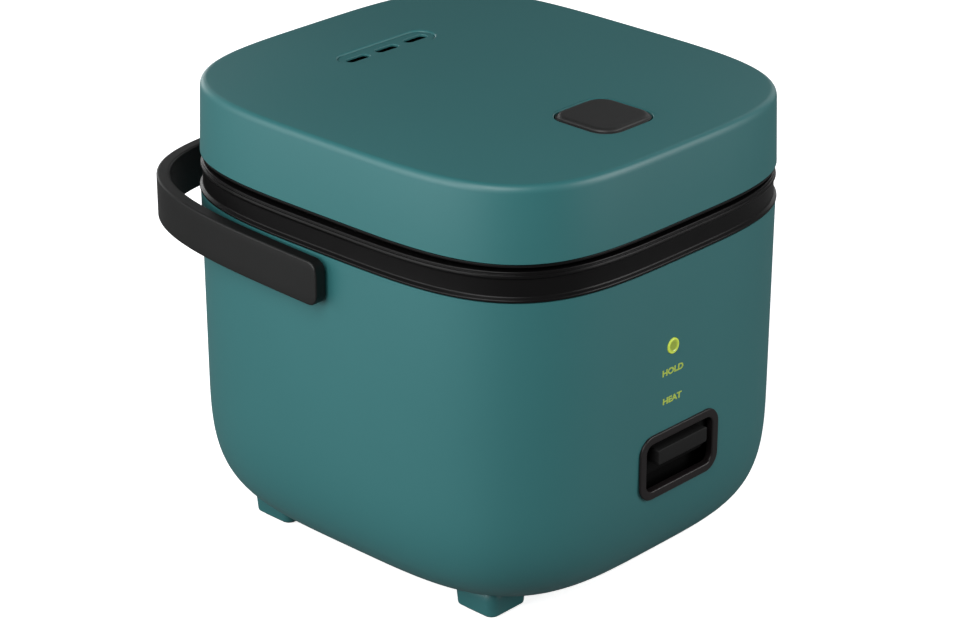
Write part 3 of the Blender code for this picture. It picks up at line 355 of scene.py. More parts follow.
def mottle_group():
    """Soft uneven tone and fine texture: two noises, one broad and one fine, in object space."""
    group, given, result = new_group(
        "mottle",
        [("Colour", "NodeSocketColor", (0.5, 0.5, 0.5, 1.0)), ("Tone", "NodeSocketFloat", 0.06),
         ("Broad Scale", "NodeSocketFloat", 25.0), ("Fine Scale", "NodeSocketFloat", 900.0),
         ("Roughness", "NodeSocketFloat", 0.4), ("Roughness Spread", "NodeSocketFloat", 0.06)],
        [("Colour", "NodeSocketColor"), ("Roughness", "NodeSocketFloat"), ("Height", "NodeSocketFloat")])
    nodes, links = group.nodes, group.links
    where = nodes.new("ShaderNodeTexCoord")
    broad = nodes.new("ShaderNodeTexNoise")
    fine = nodes.new("ShaderNodeTexNoise")
    broad.inputs["Detail"].default_value = 3.0
    fine.inputs["Detail"].default_value = 2.0
    for noise, label in ((broad, "Broad Scale"), (fine, "Fine Scale")):
        links.new(where.outputs["Object"], noise.inputs["Vector"])
        links.new(given.outputs[label], noise.inputs["Scale"])
    centred = nodes.new("ShaderNodeMath")
    centred.operation = "SUBTRACT"
    centred.inputs[1].default_value = 0.5
    links.new(broad.outputs["Fac"], centred.inputs[0])
    change = nodes.new("ShaderNodeMath")
    change.operation = "MULTIPLY_ADD"
    change.inputs[2].default_value = 1.0
    links.new(centred.outputs[0], change.inputs[0])
    links.new(given.outputs["Tone"], change.inputs[1])
    tint = nodes.new("ShaderNodeVectorMath")
    tint.operation = "SCALE"
    links.new(given.outputs["Colour"], tint.inputs[0])
    links.new(change.outputs[0], tint.inputs["Scale"])
    links.new(tint.outputs["Vector"], result.inputs["Colour"])
    spread = nodes.new("ShaderNodeMath")
    spread.operation = "MULTIPLY_ADD"
    links.new(centred.outputs[0], spread.inputs[0])
    links.new(given.outputs["Roughness Spread"], spread.inputs[1])
    links.new(given.outputs["Roughness"], spread.inputs[2])
    links.new(spread.outputs[0], result.inputs["Roughness"])
    links.new(fine.outputs["Fac"], result.inputs["Height"])
    return group


MOTTLE = mottle_group()


def made_of(name, colour, roughness, metallic=0.0, tone=0.08, spread=0.08, broad=25.0, fine=900.0,
            bump=0.05, depth=0.1 * MM, coat=0.0, coat_roughness=0.2, specular=0.5):
    """Material of one finish: mottled colour and roughness, and a fine bump."""
    material = bpy.data.materials.new(name)
    material.use_nodes = True
    nodes, links = material.node_tree.nodes, material.node_tree.links
    shader = nodes["Principled BSDF"]
    shader.inputs["Metallic"].default_value = metallic
    shader.inputs["Coat Weight"].default_value = coat
    shader.inputs["Coat Roughness"].default_value = coat_roughness
    shader.inputs["Specular IOR Level"].default_value = specular
    look = nodes.new("ShaderNodeGroup")
    look.node_tree = MOTTLE
    look.inputs["Colour"].default_value = (*colour, 1.0)
    look.inputs["Tone"].default_value = tone
    look.inputs["Broad Scale"].default_value = broad
    look.inputs["Fine Scale"].default_value = fine
    look.inputs["Roughness"].default_value = roughness
    look.inputs["Roughness Spread"].default_value = spread
    links.new(look.outputs["Colour"], shader.inputs["Base Color"])
    links.new(look.outputs["Roughness"], shader.inputs["Roughness"])
    relief = nodes.new("ShaderNodeBump")
    relief.inputs["Strength"].default_value = bump
    relief.inputs["Distance"].default_value = depth
    links.new(look.outputs["Height"], relief.inputs["Height"])
    links.new(relief.outputs["Normal"], shader.inputs["Normal"])
    return material


def body_scale(z):
    """Share of the full width that the tapered wall has left at height z."""
    return 1 - BODY_TAPER * (BODY_TOP - z) / (BODY_TOP - BODY_BOTTOM)


def base_profile(turn):
    """Height and width share of the rounded foot: superelliptic arc from the wall, at turn 0, inwards."""
    power = 2 / ROUND_EXPONENT
    z = BODY_BOTTOM + ROUND_HEIGHT * (1 - np.sin(turn) ** power)
    return z, body_scale(z) * (1 - ROUND_INSET * (1 - np.cos(turn) ** power))


def base_turn(share):
    """Turn at which the rounded foot has narrowed to a share of the body's width."""
    return math.acos(((share - 1 + ROUND_INSET) / ROUND_INSET) ** (ROUND_EXPONENT / 2))


def body_shell():
    """Wall and rounded foot as one run of rings, doubled inwards by the wall's thickness."""
    fine = outline(BODY_HALF_X, BODY_HALF_Y, BODY_EXPONENT, 360)
    wall_z = np.linspace(BODY_TOP, BODY_BOTTOM + ROUND_HEIGHT, 14)[:-1]
    arc_z, arc_share = base_profile(np.linspace(0.0, 1.0, 34) ** 2.2 * base_turn(BASE_OPENING) + 1e-6)
    heights = np.concatenate([wall_z, arc_z])
    shares = np.concatenate([body_scale(wall_z), arc_share])
    outer = at(stack([fine * share for share in shares], heights))
    slope = np.gradient(np.column_stack([shares * BODY_HALF_X, heights]), axis=0)
    slope /= np.linalg.norm(slope, axis=1)[:, None]
    inward, upward = slope[:, 1] * BODY_WALL, -slope[:, 0] * BODY_WALL
    inner_share = shares + inward / BODY_HALF_X
    inner = at(stack([fine * share for share in inner_share], heights + upward))
    return skin("body_shell", np.concatenate([outer, inner[::-1]]), joined=True)


LEVER_Z = 61.3 * MM
BEZEL_WIDTH = 45.5 * MM
BEZEL_HEIGHT = 26.6 * MM
BEZEL_RADIUS = 7.0 * MM
LENS_X = -5.2 * MM
LENS_Z = 108.3 * MM
LENS_RADIUS = 3.1 * MM
INLET_Z = 62.0 * MM
INLET_WIDTH = 27.0 * MM
INLET_HEIGHT = 19.0 * MM
PIVOT_Y = 6.0 * MM
PIVOT_Z = 132.6 * MM
PIVOT_BORE = 3.8 * MM


def bar(plan, near, far, turned, **where):
    """A straight tool of one outline, from a near to a far depth, for cutting openings."""
    return skin("tool", turned(stack([plan, plan], [near, far]), **where))


def circle(radius, count=64):
    """A circle as points in plan."""
    turn = np.linspace(0, 2 * np.pi, count, endpoint=False)
    return radius * np.stack([np.cos(turn), np.sin(turn)], axis=1)


def turned(profile, count=96):
    """Rings of a piece turned about the vertical, one for each (radius, height) pair."""
    return stack([circle(radius, count) for radius, _ in profile], [height for _, height in profile])


def rod(radius, low_x, high_x, y, z, edge=0.3 * MM, count=48):
    """A round rod lying across the object, its ends eased."""
    core = radius * 0.2
    profile = soften([(core, low_x), (radius, low_x), (radius, high_x), (core, high_x)], edge, 4)
    return skin("rod", turned(profile, count)[..., [2, 0, 1]] + np.array([0.0, BODY_Y + y, z]))


teal_paint = made_of("teal_paint", TEAL, 0.46, tone=0.10, spread=0.06, broad=14.0, fine=1400.0, bump=0.035,
                     coat=0.06, coat_roughness=0.4)
window_plan = rounded_rectangle(BEZEL_WIDTH - 2.7 * MM, BEZEL_HEIGHT - 2.7 * MM, BEZEL_RADIUS - 1 * MM)
inlet_plan = rounded_rectangle(INLET_WIDTH + 0.8 * MM, INLET_HEIGHT + 0.8 * MM, 3 * MM)
shell = body_shell()
carve(shell,
      bar(window_plan, 90 * MM, 110 * MM, front, centre_z=LEVER_Z),
      bar(circle(LENS_RADIUS + 0.15 * MM), 90 * MM, 110 * MM, front, centre_x=LENS_X, centre_z=LENS_Z),
      bar(inlet_plan, 88 * MM, 110 * MM, rear, centre_z=INLET_Z),
      rod(PIVOT_BORE, -100 * MM, 100 * MM, PIVOT_Y, PIVOT_Z, 0.05 * MM))
place(shell, "base_body", "teal_coat", teal_paint, "outer_body")


# ============================================================================= base cover
# A shallow dish of the same painted plastic closes the underside; it is screwed up
# through its four moulded feet, and four slots at the rear let heat out.

FOOT_X = 53.7 * MM
FOOT_FRONT_Y = -52.5 * MM
FOOT_REAR_Y = 59.5 * MM
FOOT_SIZE = 20.0 * MM
FOOT_FLARE = 1.6 * MM
FOOT_RADIUS = 4.5 * MM
PAD_HEIGHT = 1.5 * MM
CORNERS = ("front_left", "front_right", "rear_left", "rear_right")


def foot_places():
    """Centres of the four feet in the order of CORNERS."""
    return [(side * FOOT_X, y) for y in (FOOT_FRONT_Y, FOOT_REAR_Y) for side in (-1, 1)]


def eased(width, height, radius, profile, least=0.05 * MM, arc_steps=12):
    """Rings of a rounded rectangle, one for each (inset, depth) pair of a profile."""
    plans = []
    for inset, _ in profile:
        corner = max(radius - inset, least)
        plans.append(rounded_rectangle(width - 2 * inset, height - 2 * inset, corner, arc_steps))
    return stack(plans, [depth for _, depth in profile])


def foot(x, y):
    """One foot: a rounded square post that flares into the cover."""
    side = FOOT_SIZE + FOOT_FLARE
    profile = drawn([(2.0, 1.5), (0.8, 1.5), (0.0, 9.8), (3.2, 15.4)], (0, 0.6, 2, 0), 5)
    return skin("foot", at(eased(side, side, FOOT_RADIUS, profile), x, y))


def base_cover():
    """Dish with its outer face in line with the shell's rounded foot, a shallow panel, and the feet."""
    fine = outline(BODY_HALF_X, BODY_HALF_Y, BODY_EXPONENT, 360)
    rounding = np.array([base_turn(share) for share in np.linspace(0.83, 0.66, 14)])
    rise, share = base_profile(rounding)
    level = rise[-1]
    share = np.concatenate([share, (0.62, 0.613, 0.609, 0.60)])
    rise = np.concatenate([rise, level + np.array((0.0, 0.2, 0.7, 0.9)) * MM])
    outer = stack([fine * part for part in share], rise)
    inner = stack([fine * part for part in share], rise + BODY_WALL)
    cover = skin("underside_cover", at(np.concatenate([outer[::-1], inner])))
    carve(cover, *[foot(x, y) for x, y in foot_places()], operation="UNION")
    slots = [skin("tool", at(stack([rounded_rectangle(3 * MM, 26 * MM, 1.45 * MM)] * 2, (5 * MM, 16 * MM)),
                             (row - 1.5) * 10 * MM, 40 * MM)) for row in range(4)]
    bore = turned([(3.4 * MM, 0.5 * MM), (3.4 * MM, 10 * MM), (1.8 * MM, 10 * MM), (1.8 * MM, 18 * MM)], 32)
    return carve(cover, *slots, *[skin("tool", at(bore, x, y)) for x, y in foot_places()])


def foot_pad(name, x, y):
    """A rubber pad with eased lower edge."""
    profile = soften([(1.5 * MM, 0.0), (0.0, 0.0), (0.0, PAD_HEIGHT)], 0.5 * MM, 4)
    return skin(name, at(eased(16.4 * MM, 16.4 * MM, 3.4 * MM, profile), x, y))


place(base_cover(), "base_body", "teal_coat", teal_paint, "base_cover")
pad_rubber = made_of("pad_rubber", (0.022, 0.022, 0.023), 0.75, tone=0.25, broad=120.0, fine=2500.0,
                     bump=0.25)
for corner, (x, y) in zip(CORNERS, foot_places()):
    place(foot_pad("rubber_pad_" + corner, x, y), "base_body", "pad_rubber", pad_rubber, "foot_pad_" + corner)


# =============================================================================== rim ring
# One black satin moulding sits on the shell's top edge: a lower lip over the paint,
# a sunk waist, an upper lip, and a flat deck round the well that the pot hangs in.

WELL_RADIUS = 79.5 * MM
LEDGE_RADIUS = 75.2 * MM
HINGE_Y = 97.5 * MM
HINGE_Z = 152.5 * MM
HINGE_RADIUS = 3.0 * MM
HINGE_PIN_RADIUS = 1.4 * MM
HINGE_HALF = 26.0 * MM


def contour(half_x, half_y, exponent, profile, count=360):
    """Rings of a superellipse, one for each (inset, height) pair of a profile."""
    plans = [outline(half_x - inset, half_y - inset, exponent, count) for inset, _ in profile]
    return stack(plans, [height for _, height in profile])


def slab(low, high, radius=0.3 * MM, edge=0.2 * MM):
    """A block between two corners in millimetres, with eased upright corners and edges."""
    low, high = np.array(low) * MM, np.array(high) * MM
    width, depth, _ = high - low
    profile = soften([(edge * 2, low[2]), (0.0, low[2]), (0.0, high[2]), (edge * 2, high[2])], edge, 3)
    middle = (low + high) / 2
    return skin("slab", at(eased(width, depth, radius, profile, arc_steps=4), middle[0], middle[1]))


def rim_ring():
    """Fascia, deck and well as one closed section, then the hinge knuckles and the openings."""
    fascia = drawn([
        (4.2, 139.5), (2.6, 139.5), (2.6, 142.75), (-0.3, 142.75), (-0.3, 143.6), (0.8, 144.6), (0.8, 151.2),
        (0.15, 152.1), (0.35, 153.1), (0.75, 153.2), (0.8, 154.3), (2.6, 154.3)],
        (0, 0.3, 0.2, 0.3, 0.3, 0.4, 0.4, 0.25, 0.15, 0.15, 0.5, 0), 5)
    wide, narrow = WELL_RADIUS / MM, LEDGE_RADIUS / MM
    well = drawn([
        (wide + 1.6, 154.3), (wide, 154.3), (wide, 150.8), (narrow, 150.8), (narrow, 148.5),
        (wide + 1.8, 148.5), (wide + 1.8, 151.8)], (0, 0.8, 0.6, 0.5, 0.3, 0.3, 0), 5)
    under = np.array([(3.6, 151.8), (4.6, 142.0)]) * MM
    parts = [contour(BODY_HALF_X, BODY_HALF_Y, BODY_EXPONENT, fascia), turned(well, 360),
             contour(BODY_HALF_X, BODY_HALF_Y, BODY_EXPONENT, under)]
    ring = skin("rim_moulding", at(np.concatenate(parts)), joined=True)
    knuckles = [rod(HINGE_RADIUS, *sorted((side * 12.5 * MM, side * (HINGE_HALF + 1 * MM))), HINGE_Y, HINGE_Z)
                for side in (-1, 1)]
    carve(ring, slab((-12.5, 93.6, 148.4), (12.5, 104, 160), edge=0.05 * MM))
    carve(ring, *knuckles, operation="UNION")
    return carve(ring, slab((-7.5, -95, 146), (7.5, -85.5, 160), 0.8 * MM, 0.05 * MM),
                 rod(HINGE_PIN_RADIUS + 0.2 * MM, -HINGE_HALF, HINGE_HALF, HINGE_Y, HINGE_Z, 0.05 * MM))


black_plastic = made_of("black_plastic", (0.0028, 0.0026, 0.0027), 0.34, tone=0.2, spread=0.08, broad=60.0,
                        fine=1800.0, bump=0.10, specular=0.17)
place(rim_ring(), "base_body", "black_plastic", black_plastic, "rim_ring")


# ================================================================================ the pot
# A pressed aluminium bowl with a dark non-stick coat hangs in the well by its rolled
# rim; level marks are printed on its inner wall, and it lifts out.

POT_RADIUS = 72.5 * MM
POT_WALL = 1.5 * MM
POT_BOTTOM = 52.6 * MM
POT_CORNER = 9.0 * MM
POT_RIM_Z = 151.1 * MM
POT_FLANGE_RADIUS = 79.0 * MM
MARK_WIDTHS = (26, 12, 26, 12, 26, 12)
MARK_HEIGHT = 0.7 * MM
MARK_LOWEST = 76.0 * MM
MARK_STEP = 12.0 * MM


def arc(middle, radius, start, stop, steps=12):
    """Points of an arc in the section plane, angles in degrees from the outward direction."""
    turn = np.radians(np.linspace(start, stop, steps + 1))
    return np.array(middle) + radius * np.stack([np.cos(turn), np.sin(turn)], axis=1)


def pot():
    """Section from the bottom's middle, out and up to the rim, and back down inside."""
    bend = (POT_RADIUS - POT_CORNER, POT_BOTTOM + POT_CORNER)
    inner = POT_RADIUS - POT_WALL
    top = POT_RIM_Z + 1.2 * MM
    rim = soften([(POT_RADIUS, POT_RIM_Z - 3 * MM), (POT_RADIUS, POT_RIM_Z), (POT_FLANGE_RADIUS, POT_RIM_Z),
                  (POT_FLANGE_RADIUS, top), (inner, top), (inner, POT_RIM_Z - 4 * MM)],
                 (0, 0.6 * MM, 0.55 * MM, 0.55 * MM, 1.6 * MM, 0), 6)
    section = np.concatenate([
        [(2 * MM, POT_BOTTOM)], arc(bend, POT_CORNER, -90, 0), rim,
        arc(bend, POT_CORNER - POT_WALL, 0, -90), [(2 * MM, POT_BOTTOM + POT_WALL)]])
    return skin("cooking_pot", at(turned(section, 192)))


def merged(name, parts):
    """One object from several separate closed meshes."""
    work = bmesh.new()
    for part in parts:
        work.from_mesh(part.data)
        bpy.data.objects.remove(part)
    mesh = bpy.data.meshes.new(name)
    work.to_mesh(mesh)
    work.free()
    return tidy_mesh(name, mesh)


def level_marks():
    """Printed lines on the pot's inner wall, long and short in turn, each a thin curved bar."""
    bars = []
    radius = POT_RADIUS - POT_WALL
    half = MARK_HEIGHT / 2
    sunk, proud = radius + 0.1 * MM, radius - 0.06 * MM
    section = [(sunk, -half), (proud, -half), (proud, half), (sunk, half)]
    for number, width in enumerate(MARK_WIDTHS):
        turn = math.radians(90) + np.linspace(-0.5, 0.5, 13) * width * MM / radius
        level = MARK_LOWEST + MARK_STEP * number
        rings = [[(reach * math.cos(t), reach * math.sin(t), level + rise) for reach, rise in section]
                 for t in turn]
        bars.append(skin("bar", at(np.array(rings))))
    return merged("pot_level_marks", bars)


pot_coating = made_of("pot_coating", (0.030, 0.030, 0.032), 0.38, metallic=0.3, tone=0.5, spread=0.15,
                      broad=400.0, fine=1500.0, bump=0.12)
mark_print = made_of("mark_print", (0.45, 0.45, 0.44), 0.6)
place(pot(), "base_body", "pot_coating", pot_coating, "inner_pot")
place(level_marks(), "base_body", "pot_coating", mark_print)


# ============================================================================== lid cover
# The lid is a painted shell with upright sides that lean in a little, a soft rounded
# edge and a barely domed top, open for the button and for the steam vent.

LID_EXPONENT = 3.845
LID_EDGE_X = 88.65 * MM
LID_EDGE_Y = 99.16 * MM
LID_LEAN_X = 0.9 * MM
LID_LEAN_Y = 1.16 * MM
LID_BOTTOM = 157.3 * MM
LID_TOP = 186.9 * MM
LID_CROWN = 0.7 * MM
LID_WALL = 2.2 * MM
LID_ROUND = 3.4 * MM
BUTTON_Y = -59.0 * MM
BUTTON_SIZE = 30.0 * MM
BUTTON_RADIUS = 8.0 * MM
VENT_Y = 54.0 * MM
VENT_LENGTH = 49.0 * MM
VENT_WIDTH = 12.5 * MM


def lid_top(share):
    """Height of the domed top where the outline has shrunk to a share of its crease."""
    return LID_TOP + LID_CROWN * (1 - np.minimum(share / 0.96, 1) ** 2)


def flared(width, height, radius, surface, ease, y, x=0.0):
    """A cutting tool whose outline widens in a quarter round where it meets a surface."""
    turn = np.linspace(0, np.pi / 2, 9)
    widening = ease * (1 - np.cos(turn))
    rise = surface - ease + ease * np.sin(turn)
    profile = [(0.0, 176 * MM), (0.0, surface - ease)] + list(zip(-widening, rise))[1:]
    profile += [(-ease, surface + 0.01 * MM), (-ease, 195 * MM)]
    return skin("tool", at(eased(width, height, radius, profile, arc_steps=16), x, y))


def lid_cover():
    """Outer face from the lower edge over the rounding to the middle, and the inner face back."""
    lean = LID_LEAN_X
    side = soften([(1.2 * MM, LID_BOTTOM), (0.0, LID_BOTTOM), (lean, LID_TOP), (lean + 5 * MM, LID_TOP)],
                  (0, 0.35 * MM, LID_ROUND, 0), 10)
    shares = np.linspace(0.92, 0.02, 26)
    crease = (LID_EDGE_X - LID_LEAN_X, LID_EDGE_Y - LID_LEAN_Y)
    crown = [outline(crease[0] * share, crease[1] * share, LID_EXPONENT, 360) for share in shares]
    outside = [contour(LID_EDGE_X, LID_EDGE_Y, LID_EXPONENT, side), stack(crown, lid_top(shares))]
    ceiling = LID_TOP - LID_WALL
    inner = soften([(5.4 * MM, ceiling), (3.1 * MM, ceiling), (2.2 * MM, LID_BOTTOM)], 2 * MM, 5)
    inside = [stack(crown[::-5], lid_top(shares[::-5]) - LID_WALL),
              contour(LID_EDGE_X, LID_EDGE_Y, LID_EXPONENT, inner)]
    cover = skin("lid_shell", at(np.concatenate(inside + outside)))
    surface = LID_TOP + 0.38 * MM
    clear = BUTTON_SIZE + 1 * MM
    return carve(cover,
                 flared(clear, clear, BUTTON_RADIUS + 0.5 * MM, surface, 0.5 * MM, BUTTON_Y),
                 flared(VENT_LENGTH, VENT_WIDTH, VENT_WIDTH / 2 - 0.05 * MM, surface, 0.9 * MM, VENT_Y))


place(lid_cover(), "lid_body", "teal_coat", teal_paint, "lid_cover")


# ============================================================================== lid frame
# A black tray closes the lid from below. It carries the hinge knuckles, the ears of
# the latch and the pin that the inner lid plate is pushed onto.

LATCH_Y = -80.0 * MM
LATCH_Z = 165.0 * MM
LATCH_REACH = 16.2 * MM


def lid_frame():
    """Tray with an upturned edge, a shallow groove below, knuckles, ears and openings."""
    edge = drawn([(3.4, 155.9), (0.35, 155.9), (0.35, 157.0), (2.7, 157.0), (2.7, 163.0), (4.2, 163.0),
                  (4.2, 157.6), (8.0, 157.6)], (0, 0.4, 0.25, 0.3, 0.3, 0.3, 0.6, 0), 4)
    below = np.array([(3.0, 152.0), (3.0, 155.6), (3.4, 155.9), (79.6, 155.9), (79.9, 156.3), (80.9, 156.3),
                      (81.2, 155.9)]) * MM
    rings = np.concatenate([turned(below, 360), contour(LID_EDGE_X, LID_EDGE_Y, LID_EXPONENT, edge)])
    frame = skin("lid_tray", at(rings))
    joined_on = []
    for side in (-1, 1):
        low, high = sorted((side * 5.1, side * 11.9))
        joined_on.append(rod(HINGE_RADIUS, low * MM, high * MM, HINGE_Y, HINGE_Z))
        joined_on.append(slab((low, 95.1, 153.4), (high, 98.5, 156.5), 0.4 * MM, 0.05 * MM))
        low, high = sorted((side * 8.0, side * 10.5))
        joined_on.append(slab((low, -84, 157.0), (high, -76, 169), 0.5 * MM))
    carve(frame, *joined_on, operation="UNION")
    steam_way = skin("tool", at(turned([(8 * MM, 150 * MM), (8 * MM, 160 * MM)], 48), 0, VENT_Y))
    return carve(frame, rod(HINGE_PIN_RADIUS + 0.2 * MM, -13 * MM, 13 * MM, HINGE_Y, HINGE_Z, 0.05 * MM),
                 rod(1.3 * MM, -12 * MM, 12 * MM, LATCH_Y, LATCH_Z, 0.05 * MM),
                 slab((-6.5, -93.5, 150), (6.5, -82.5, 160), 0.8 * MM, 0.05 * MM), steam_way)


place(lid_frame(), "lid_body", "black_plastic", black_plastic, "lid_frame")


# ========================================================================= inner lid plate
# A thin aluminium disc with a pressed bead keeps steam off the tray. It is held by a
# soft silicone button in the middle, and a silicone seal runs round its edge.

PLATE_Z = 153.6 * MM


def inner_plate():
    """Disc with a bead near its edge and one steam hole."""
    face = drawn([(5.9, 0), (57, 0), (59, -0.7), (63, -0.7), (65, 0), (73.2, 0)],
                 (0, 1.2, 1.2, 1.2, 1.2, 0), 5)
    rim = arc((72.8 * MM, 0.4 * MM), 0.4 * MM, -90, 90, 6)
    section = np.concatenate([face[:-1], rim, face[::-1] + np.array([0, 0.8 * MM])])
    section[:, 1] += PLATE_Z
    plate = skin("steam_plate", at(turned(section, 192)), joined=True)
    hole = turned([(4 * MM, 150 * MM), (4 * MM, 158 * MM)], 48)
    return carve(plate, skin("tool", at(hole, 0, VENT_Y - 4 * MM)))


def grommet():
    """Silicone button round the tray's pin, with a groove for the plate."""
    section = drawn([(3.2, 151.6), (8.0, 151.6), (9.0, 152.3), (9.0, 153.5), (5.8, 153.5), (5.8, 154.5),
                     (8.0, 154.5), (8.0, 155.8), (3.2, 155.8), (3.2, 151.8)], 0.35, 4)
    return skin("silicone_button", at(turned(section, 64)), joined=True)


def seal():
    """Silicone ring with a soft hanging lip."""
    section = drawn([(73.7, 155.8), (73.7, 153.2), (75.5, 152.7), (78.3, 153.4), (78.3, 155.8),
                     (76.0, 155.8)], (0, 0.5, 1.0, 0.8, 0.4, 0))
    return skin("silicone_seal", at(turned(section, 192)), joined=True)


bare_sheet = made_of("bare_sheet", (0.66, 0.66, 0.67), 0.34, metallic=1.0, tone=0.06, spread=0.12, broad=60.0,
                     fine=700.0, bump=0.05)
silicone = made_of("silicone", (0.62, 0.63, 0.63), 0.45, tone=0.05, broad=40.0, fine=1200.0, bump=0.05)
place(inner_plate(), "lid_body", "liner_sheet", bare_sheet, "inner_lid_plate")
place(grommet(), "lid_body", "silicone", silicone, "inner_lid_grommet")
place(seal(), "lid_body", "silicone", silicone, "lid_seal")


# ============================================================================= steam vent
# A painted insert lies sunk in the lid's pill-shaped opening; steam leaves through
# its three rounded slots from the black duct below.

VENT_TOP = 186.75 * MM
VENT_THICK = 1.0 * MM
SLOT_PITCH = 16.0 * MM
SLOT_LENGTH = 11.6 * MM
SLOT_WIDTH = 4.4 * MM


def steam_vent():
    """Pill-shaped plate with three slots, their mouths eased."""
    profile = [(0.0, VENT_TOP - VENT_THICK), (0.0, VENT_TOP - 0.2 * MM), (0.2 * MM, VENT_TOP)]
    length, width = VENT_LENGTH - 0.3 * MM, VENT_WIDTH - 0.3 * MM
    pill = eased(length, width, VENT_WIDTH / 2 - 0.2 * MM, profile, arc_steps=16)
    plate = skin("vent_insert", at(pill, 0, VENT_Y))
    bend = SLOT_WIDTH / 2 - 0.05 * MM
    slots = [flared(SLOT_LENGTH, SLOT_WIDTH, bend, VENT_TOP, 0.3 * MM, VENT_Y, row * SLOT_PITCH)
             for row in (-1, 0, 1)]
    return carve(plate, *slots)


place(steam_vent(), "lid_body", "teal_coat", teal_paint, "steam_vent")


# ============================================================================= lid button
# A square black button with round corners stands just proud of the lid. Its face is
# set off by a rounded shoulder and a narrow ledge, and its stem presses the latch.

BUTTON_TOP = 188.3 * MM
BUTTON_DEEP = 5.2 * MM


def lid_button():
    """Cap from its skirt over the ledge and the shoulder to the flat face, and the stem."""
    low = BUTTON_TOP - BUTTON_DEEP
    profile = drawn([(0.0, low / MM), (0.0, 187.0), (0.9, 187.15), (1.3, 187.9), (2.4, 188.3), (6.0, 188.3)],
                    (0, 0.3, 0.3, 0.6, 0.8, 0))
    square = eased(BUTTON_SIZE, BUTTON_SIZE, BUTTON_RADIUS, profile, 1.6 * MM, 16)
    cap = skin("push_button", at(square, 0, BUTTON_Y))
    stem = turned([(1.8 * MM, LATCH_Z + 2.05 * MM), (1.8 * MM, low + 1 * MM)], 32)
    return carve(cap, skin("stem", at(stem, 0, LATCH_Y + LATCH_REACH)), operation="UNION")


button_plastic = made_of("button_plastic", (0.0080, 0.0080, 0.0080), 0.55, tone=0.12, spread=0.08, broad=60.0,
                         fine=2200.0, bump=0.12)
place(lid_button(), "button_body", "black_plastic", button_plastic, "lid_button")


# ============================================================================= latch hook
# Under the button a black rocker turns on a steel pin; its front leg ends in a barb
# that catches the rim.

LATCH_HALF = 3.5 * MM


def latch_hook():
    """Side outline of the rocker, drawn across its width, with the pin's bore."""
    side = drawn([
        (-61.9, 165.0), (-61.9, 166.6), (-77.0, 166.6), (-78.5, 168.0), (-81.5, 168.0), (-83.5, 165.6),
        (-90.0, 164.6), (-90.0, 149.0), (-87.2, 149.0), (-85.8, 150.3), (-85.8, 151.3), (-87.0, 151.6),
        (-87.0, 161.6), (-80.0, 162.0), (-77.5, 163.4), (-61.9, 163.4), (-61.9, 165.0)], 0.5, 3)[:-1]
    rings = [np.column_stack([np.full(len(side), x), side[:, 0] + BODY_Y, side[:, 1]])
             for x in (-LATCH_HALF, LATCH_HALF)]
    hook = skin("latch_rocker", rings)
    return carve(hook, rod(1.3 * MM, -9 * MM, 9 * MM, LATCH_Y, LATCH_Z, 0.05 * MM))


place(latch_hook(), "latch_body", "black_plastic", black_plastic, "latch_hook")


# ================================================================================== hinge
# The lid turns on a steel pin through five knuckles; a torsion spring wound round its
# middle lifts the lid when the latch lets go.

def coil(radius, wire, low_x, high_x, turns, y, z, count=14):
    """A helical spring lying across the object, its wire round."""
    steps = int(turns * 48)
    turn = np.linspace(0, 2 * np.pi * turns, steps)
    run = np.linspace(low_x, high_x, steps)
    around = np.linspace(0, 2 * np.pi, count, endpoint=False)
    reach = radius + wire * np.cos(around)[None, :]
    rings = np.stack([run[:, None] + wire * np.sin(around)[None, :] * np.ones((steps, 1)),
                      BODY_Y + y + reach * np.cos(turn)[:, None], z + reach * np.sin(turn)[:, None]], axis=-1)
    return skin("coil", rings)


steel = made_of("bright_steel", (0.58, 0.58, 0.60), 0.28, metallic=1.0, tone=0.08, spread=0.12, broad=200.0,
                fine=1500.0, bump=0.04)
spring_wire = made_of("spring_wire", (0.38, 0.39, 0.41), 0.3, metallic=1.0, tone=0.1, spread=0.1, broad=200.0)
pin = rod(HINGE_PIN_RADIUS, -HINGE_HALF, HINGE_HALF, HINGE_Y, HINGE_Z)
pin.name = "hinge_rod"
place(pin, "base_body", "plated_steel", steel, "hinge_pin")
spring = coil(2.25 * MM, 0.42 * MM, -4.4 * MM, 4.4 * MM, 8, HINGE_Y, HINGE_Z)
spring.name = "hinge_coil"
place(spring, "base_body", "spring_steel", spring_wire, "hinge_spring")


# ========================================================================== lever and bezel
# A black frame with rounded corners lines the window in the front wall. Behind it the
# cook lever's paddle stands back in shadow, and a flat bar on it serves the finger.

BEZEL_BORDER = 3.5 * MM
TAB_WIDTH = 28.4 * MM
TAB_HEIGHT = 6.2 * MM
TAB_Z = 65.4 * MM
TAB_FRONT = 101.5 * MM


def bezel():
    """Frame from its neck, round the proud border and back through the window."""
    border = BEZEL_BORDER / MM
    profile = drawn([
        (1.75, 97.2), (1.75, 99.2), (0.0, 99.2), (0.0, 100.2), (border, 100.2), (border, 97.2),
        (border - 0.8, 97.2)], (0, 0.2, 0.1, 0.55, 0.7, 0.2, 0), 7)
    rings = front(eased(BEZEL_WIDTH, BEZEL_HEIGHT, BEZEL_RADIUS, profile, 3.6 * MM), centre_z=LEVER_Z)
    return skin("window_frame", rings, joined=True)


